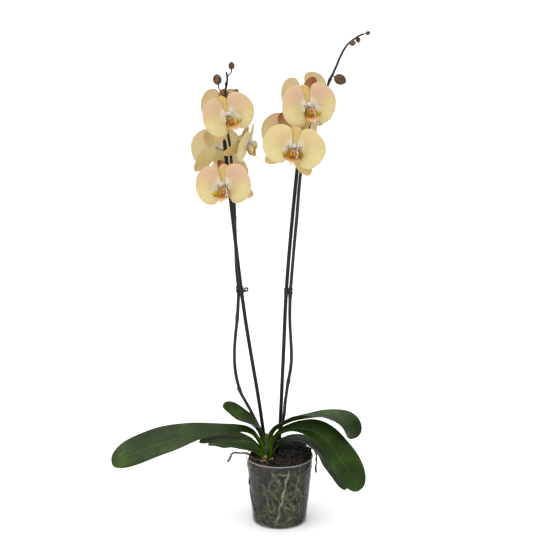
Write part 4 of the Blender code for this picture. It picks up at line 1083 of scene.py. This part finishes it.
# ------------------------------------------------------------------------------------------------
# The lips. A waxy lip under a blunt white column: two raised side lobes, white above and yellow at
# the foot, a throat barred red-brown on gold between them with a knobbed callus, and a peach middle
# lobe like an anchor's fluke that ends in two pale curled threads.

# The column: smooth cream wax with a soft shine
column_skin = grained("column_wax", 160.0, 3.0, ((0.3, "b3a698"), (0.7, "c9bfb2")), Roughness=0.4,
                      IOR=1.45)


def barred(name, axis, grounds, bars, scale, where_bars):
    """Waxy lip skin: grounds along one of its two directions, under uneven bars over part of it."""
    made = skin_of(name, Roughness=0.4, IOR=1.45)
    place = put(made, "UVMap", uv_map="blade")
    across, along = (put(made, "SeparateXYZ", {"Vector": place}, out=key) for key in (axis, "Y"))
    ground = put(made, "ValToRGB", {"Fac": across}, grounds)
    bands = put(made, "Mapping", {"Vector": place, "Scale": scale})
    noise = put(made, "TexNoise", {"Vector": bands, "Scale": 1.0, "Detail": 2.0})
    ink = put(made, "MapRange", {"Value": noise, "From Min": 0.46, "From Max": 0.56,
                                 "To Min": 1.0, "To Max": 0.0})
    zone = put(made, "ValToRGB", {"Fac": along}, where_bars)
    amount = put(made, "Math", {0: ink, 1: zone}, operation="MULTIPLY")
    surface(made, coat(made, ground, (amount, bars)), noise, 0.3, 0.0006)
    return made


white_lobe = barred("side_lobe_white", "X", ((0.08, "9a7212"), (0.22, "b9a022"), (0.42, "c8ba4e"),
                                             (0.54, "cfc6b0")), "8a5420", (14.0, 5.0, 1.0),
                    ((0.0, 0.8), (0.2, 0.5), (0.32, 0.0)))
dotted_lobe = barred("side_lobe_dotted", "X", ((0.1, "a8781c"), (0.5, "c39a34"), (0.9, "d8c894")),
                     "50260c", (16.0, 4.0, 1.0), ((0.0, 1.0), (1.0, 0.8)))
throat_skin = barred("throat", "Y", ((0.02, "cdb69a"), (0.16, "c08a48"), (0.9, "bd7d14")), "6e2410",
                     (9.0, 3.0, 1.0), ((0.0, 0.6), (0.1, 1.0), (0.7, 0.9), (1.0, 0.3)))
middle_lobe = barred("middle_lobe", "Y", ((0.05, "a8741a"), (0.45, "b98434"), (0.95, "c8a286")),
                     "8a4416", (12.0, 6.0, 1.0), ((0.0, 1.0), (0.3, 0.7), (0.6, 0.08)))
knob = barred("callus", "Y", ((0.0, "b8781c"), (0.5, "c0841a"), (1.0, "c89430")), "6c200c",
              (6.0, 5.0, 1.0), ((0.0, 1.0), (0.6, 0.8), (1.0, 0.2)))
LIP_THICKNESS = 0.7


def side_lobe(hand, seed, face):
    """A side lobe: an upright oval ear that runs out and forward from the throat and curls in."""
    u, v = sheet(0, 24, 24)
    tall = 11.0 * np.sqrt(np.clip(1 - ((u - 0.5) / 0.56) ** 2, 0.05, 1))
    tall = tall * (1 + 0.04 * np.sin(5 * u + seed))
    x = 6.4 + 11.0 * u - 1.8 * u ** 2 - 2.6 * v ** 2 * u
    y = -(1.5 + 15.5 * u - 1.5 * u ** 2 + 1.6 * (1 - v ** 2) * u)
    z = -6.5 - 2.5 * u + v * tall + 0.5 * np.sin(4 * v + seed) * u
    return {"points": spread(hand * x, y, z), "skin": face, "turned": hand > 0}


def mid_lobe(seed):
    """The middle lobe: a broad fluke that runs forward and a little down, its two shoulders raised."""
    u, v = sheet(0, 30, 24)
    broad = np.interp(u, (0, 0.15, 0.35, 0.55, 0.75, 0.9, 1), (7.0, 9.0, 13.5, 14.0, 10.0, 4.0, 1.0))
    y = -(8.5 + 11.5 * u ** 0.85) + 2.6 * np.abs(v) ** 1.5 * np.sin(np.pi * u)
    z = (-17.5 - 7.5 * u ** 1.3 + 3.4 * v ** 2 * np.sin(np.pi * np.clip(1.1 * u, 0, 1))
         + 0.5 * np.sin(6 * u + seed))
    return {"points": spread(broad * v, y, z), "skin": 1}


def throat():
    """The hollow between the side lobes, under the column, deepest in its middle."""
    u, v = sheet(0, 16, 16)
    x = (6.6 + 1.2 * np.sin(np.pi * u)) * v
    return {"points": spread(x, -(2.2 + 7.5 * u ** 1.3 + 1.8 * v ** 2), -3.0 - 17.0 * u), "skin": 2}


column = follow(((0, 0.6, 1.8), (0, -3.0, 2.6), (0, -6.4, 2.2), (0, -8.6, 0.4)), 26)
column_width = np.interp(np.linspace(0, 1, 26), (0, 0.35, 0.75, 0.95, 1), (4.6, 3.9, 3.8, 2.6, 0.8))
# One of the two threads at the lip's tip, from its root
CURL = np.array(((0.6, 0, 0), (1.4, -6, -3.5), (3.2, -12, -5.5), (5.5, -15.5, -2.5), (6.2, -16, 2.5),
                 (5.6, -14.5, 5.5)))
for index, (name, (centre, turns, size, _, _, _, tones)) in enumerate(FLOWERS.items()):
    lip_turn = (turns[0] + tones[3], turns[1], turns[2])
    # The dotted face shows on the side lobe that is turned towards the front
    near = -1 if turns[0] > 0 else 1
    faces = {near: 3, -near: 0}
    blades = [side_lobe(1, index, faces[1]), side_lobe(-1, index + 1, faces[-1]), mid_lobe(index),
              throat()]
    wall(build(name + "_lip_lobes", bloom(blades, centre, lip_turn, size),
               [white_lobe, middle_lobe, throat_skin, dotted_lobe, white_lobe, middle_lobe, white_lobe,
                white_lobe], [name + "_lip"]), LIP_THICKNESS, backs=4)
    solid = [tube(column, column_width, 20, (1.0, 0.0, 0.0))]
    turn = np.linspace(0, np.pi, 18)
    reach = 1.0 if name == "flower_left_4" else 0.55
    for hand in (1, -1):
        knob_path = spread(hand * 2.4, -9.6 - 1.5 * np.cos(turn), -10.5 - 5.5 * np.cos(turn))
        swell = 2.7 * np.clip(np.sin(turn), 0.12, 1)
        solid.append(tube(knob_path, swell, 14, (1.0, 0.0, 0.0), skin=1))
        thread = follow(CURL * (hand, 1, 1) * reach + (0, -20.8, -24.8), 40)
        solid.append(tube(thread, np.linspace(0.75, 0.3, 40), 8, (0.2, 0.3, 1.0)))
    build(name + "_column", bloom(solid, centre, lip_turn, size), [column_skin, knob])

# ------------------------------------------------------------------------------------------------
# The studio: a plain white floor, a white sky that is brightest overhead and dims at the height of
# the walls, one soft key light and the camera.

bpy.ops.mesh.primitive_circle_add(vertices=96, radius=60.0, fill_type="TRIFAN")
ground = bpy.context.object
ground.name = "studio_floor"
# Matt paint with no shine, so that only soft shadows show on it
ground.data.materials.append(skin_of("matt_white_floor", Roughness=0.9, Specular_IOR_Level=0.0,
                                     Base_Color=(0.9, 0.9, 0.9, 1.0)))

world = bpy.data.worlds.new("white_studio")
bpy.context.scene.world = world
world.use_nodes = True
height = put(world, "SeparateXYZ", {"Vector": put(world, "TexCoord", out="Generated")}, out="Z")
light = put(world, "ValToRGB", {"Fac": height},
            stops=((0.0, 0.56), (0.03, 0.56), (0.1, 0.26), (0.5, 0.3), (0.8, 1.0)))
backdrop = world.node_tree.nodes["Background"]
world.node_tree.links.new(light, backdrop.inputs["Color"])
backdrop.inputs["Strength"].default_value = 2.0

key = bpy.data.lights.new("soft_key", "SUN")
key.energy = 1.0
key.angle = math.radians(60)
key_lamp = bpy.data.objects.new("soft_key", key)
key_lamp.rotation_euler = (math.radians(38), math.radians(-16), math.radians(-12))
bpy.context.scene.collection.objects.link(key_lamp)

camera = bpy.data.cameras.new("camera")
camera.sensor_width = 36.0
camera.lens = 77.5
camera.clip_end = 200.0
view = bpy.data.objects.new("camera", camera)
view.location = (-0.0055, -2.0, 0.89)
view.rotation_euler = (math.radians(77.5), 0.0, 0.0)
bpy.context.scene.collection.objects.link(view)
bpy.context.scene.camera = view
bpy.context.scene.view_settings.view_transform = "Standard"
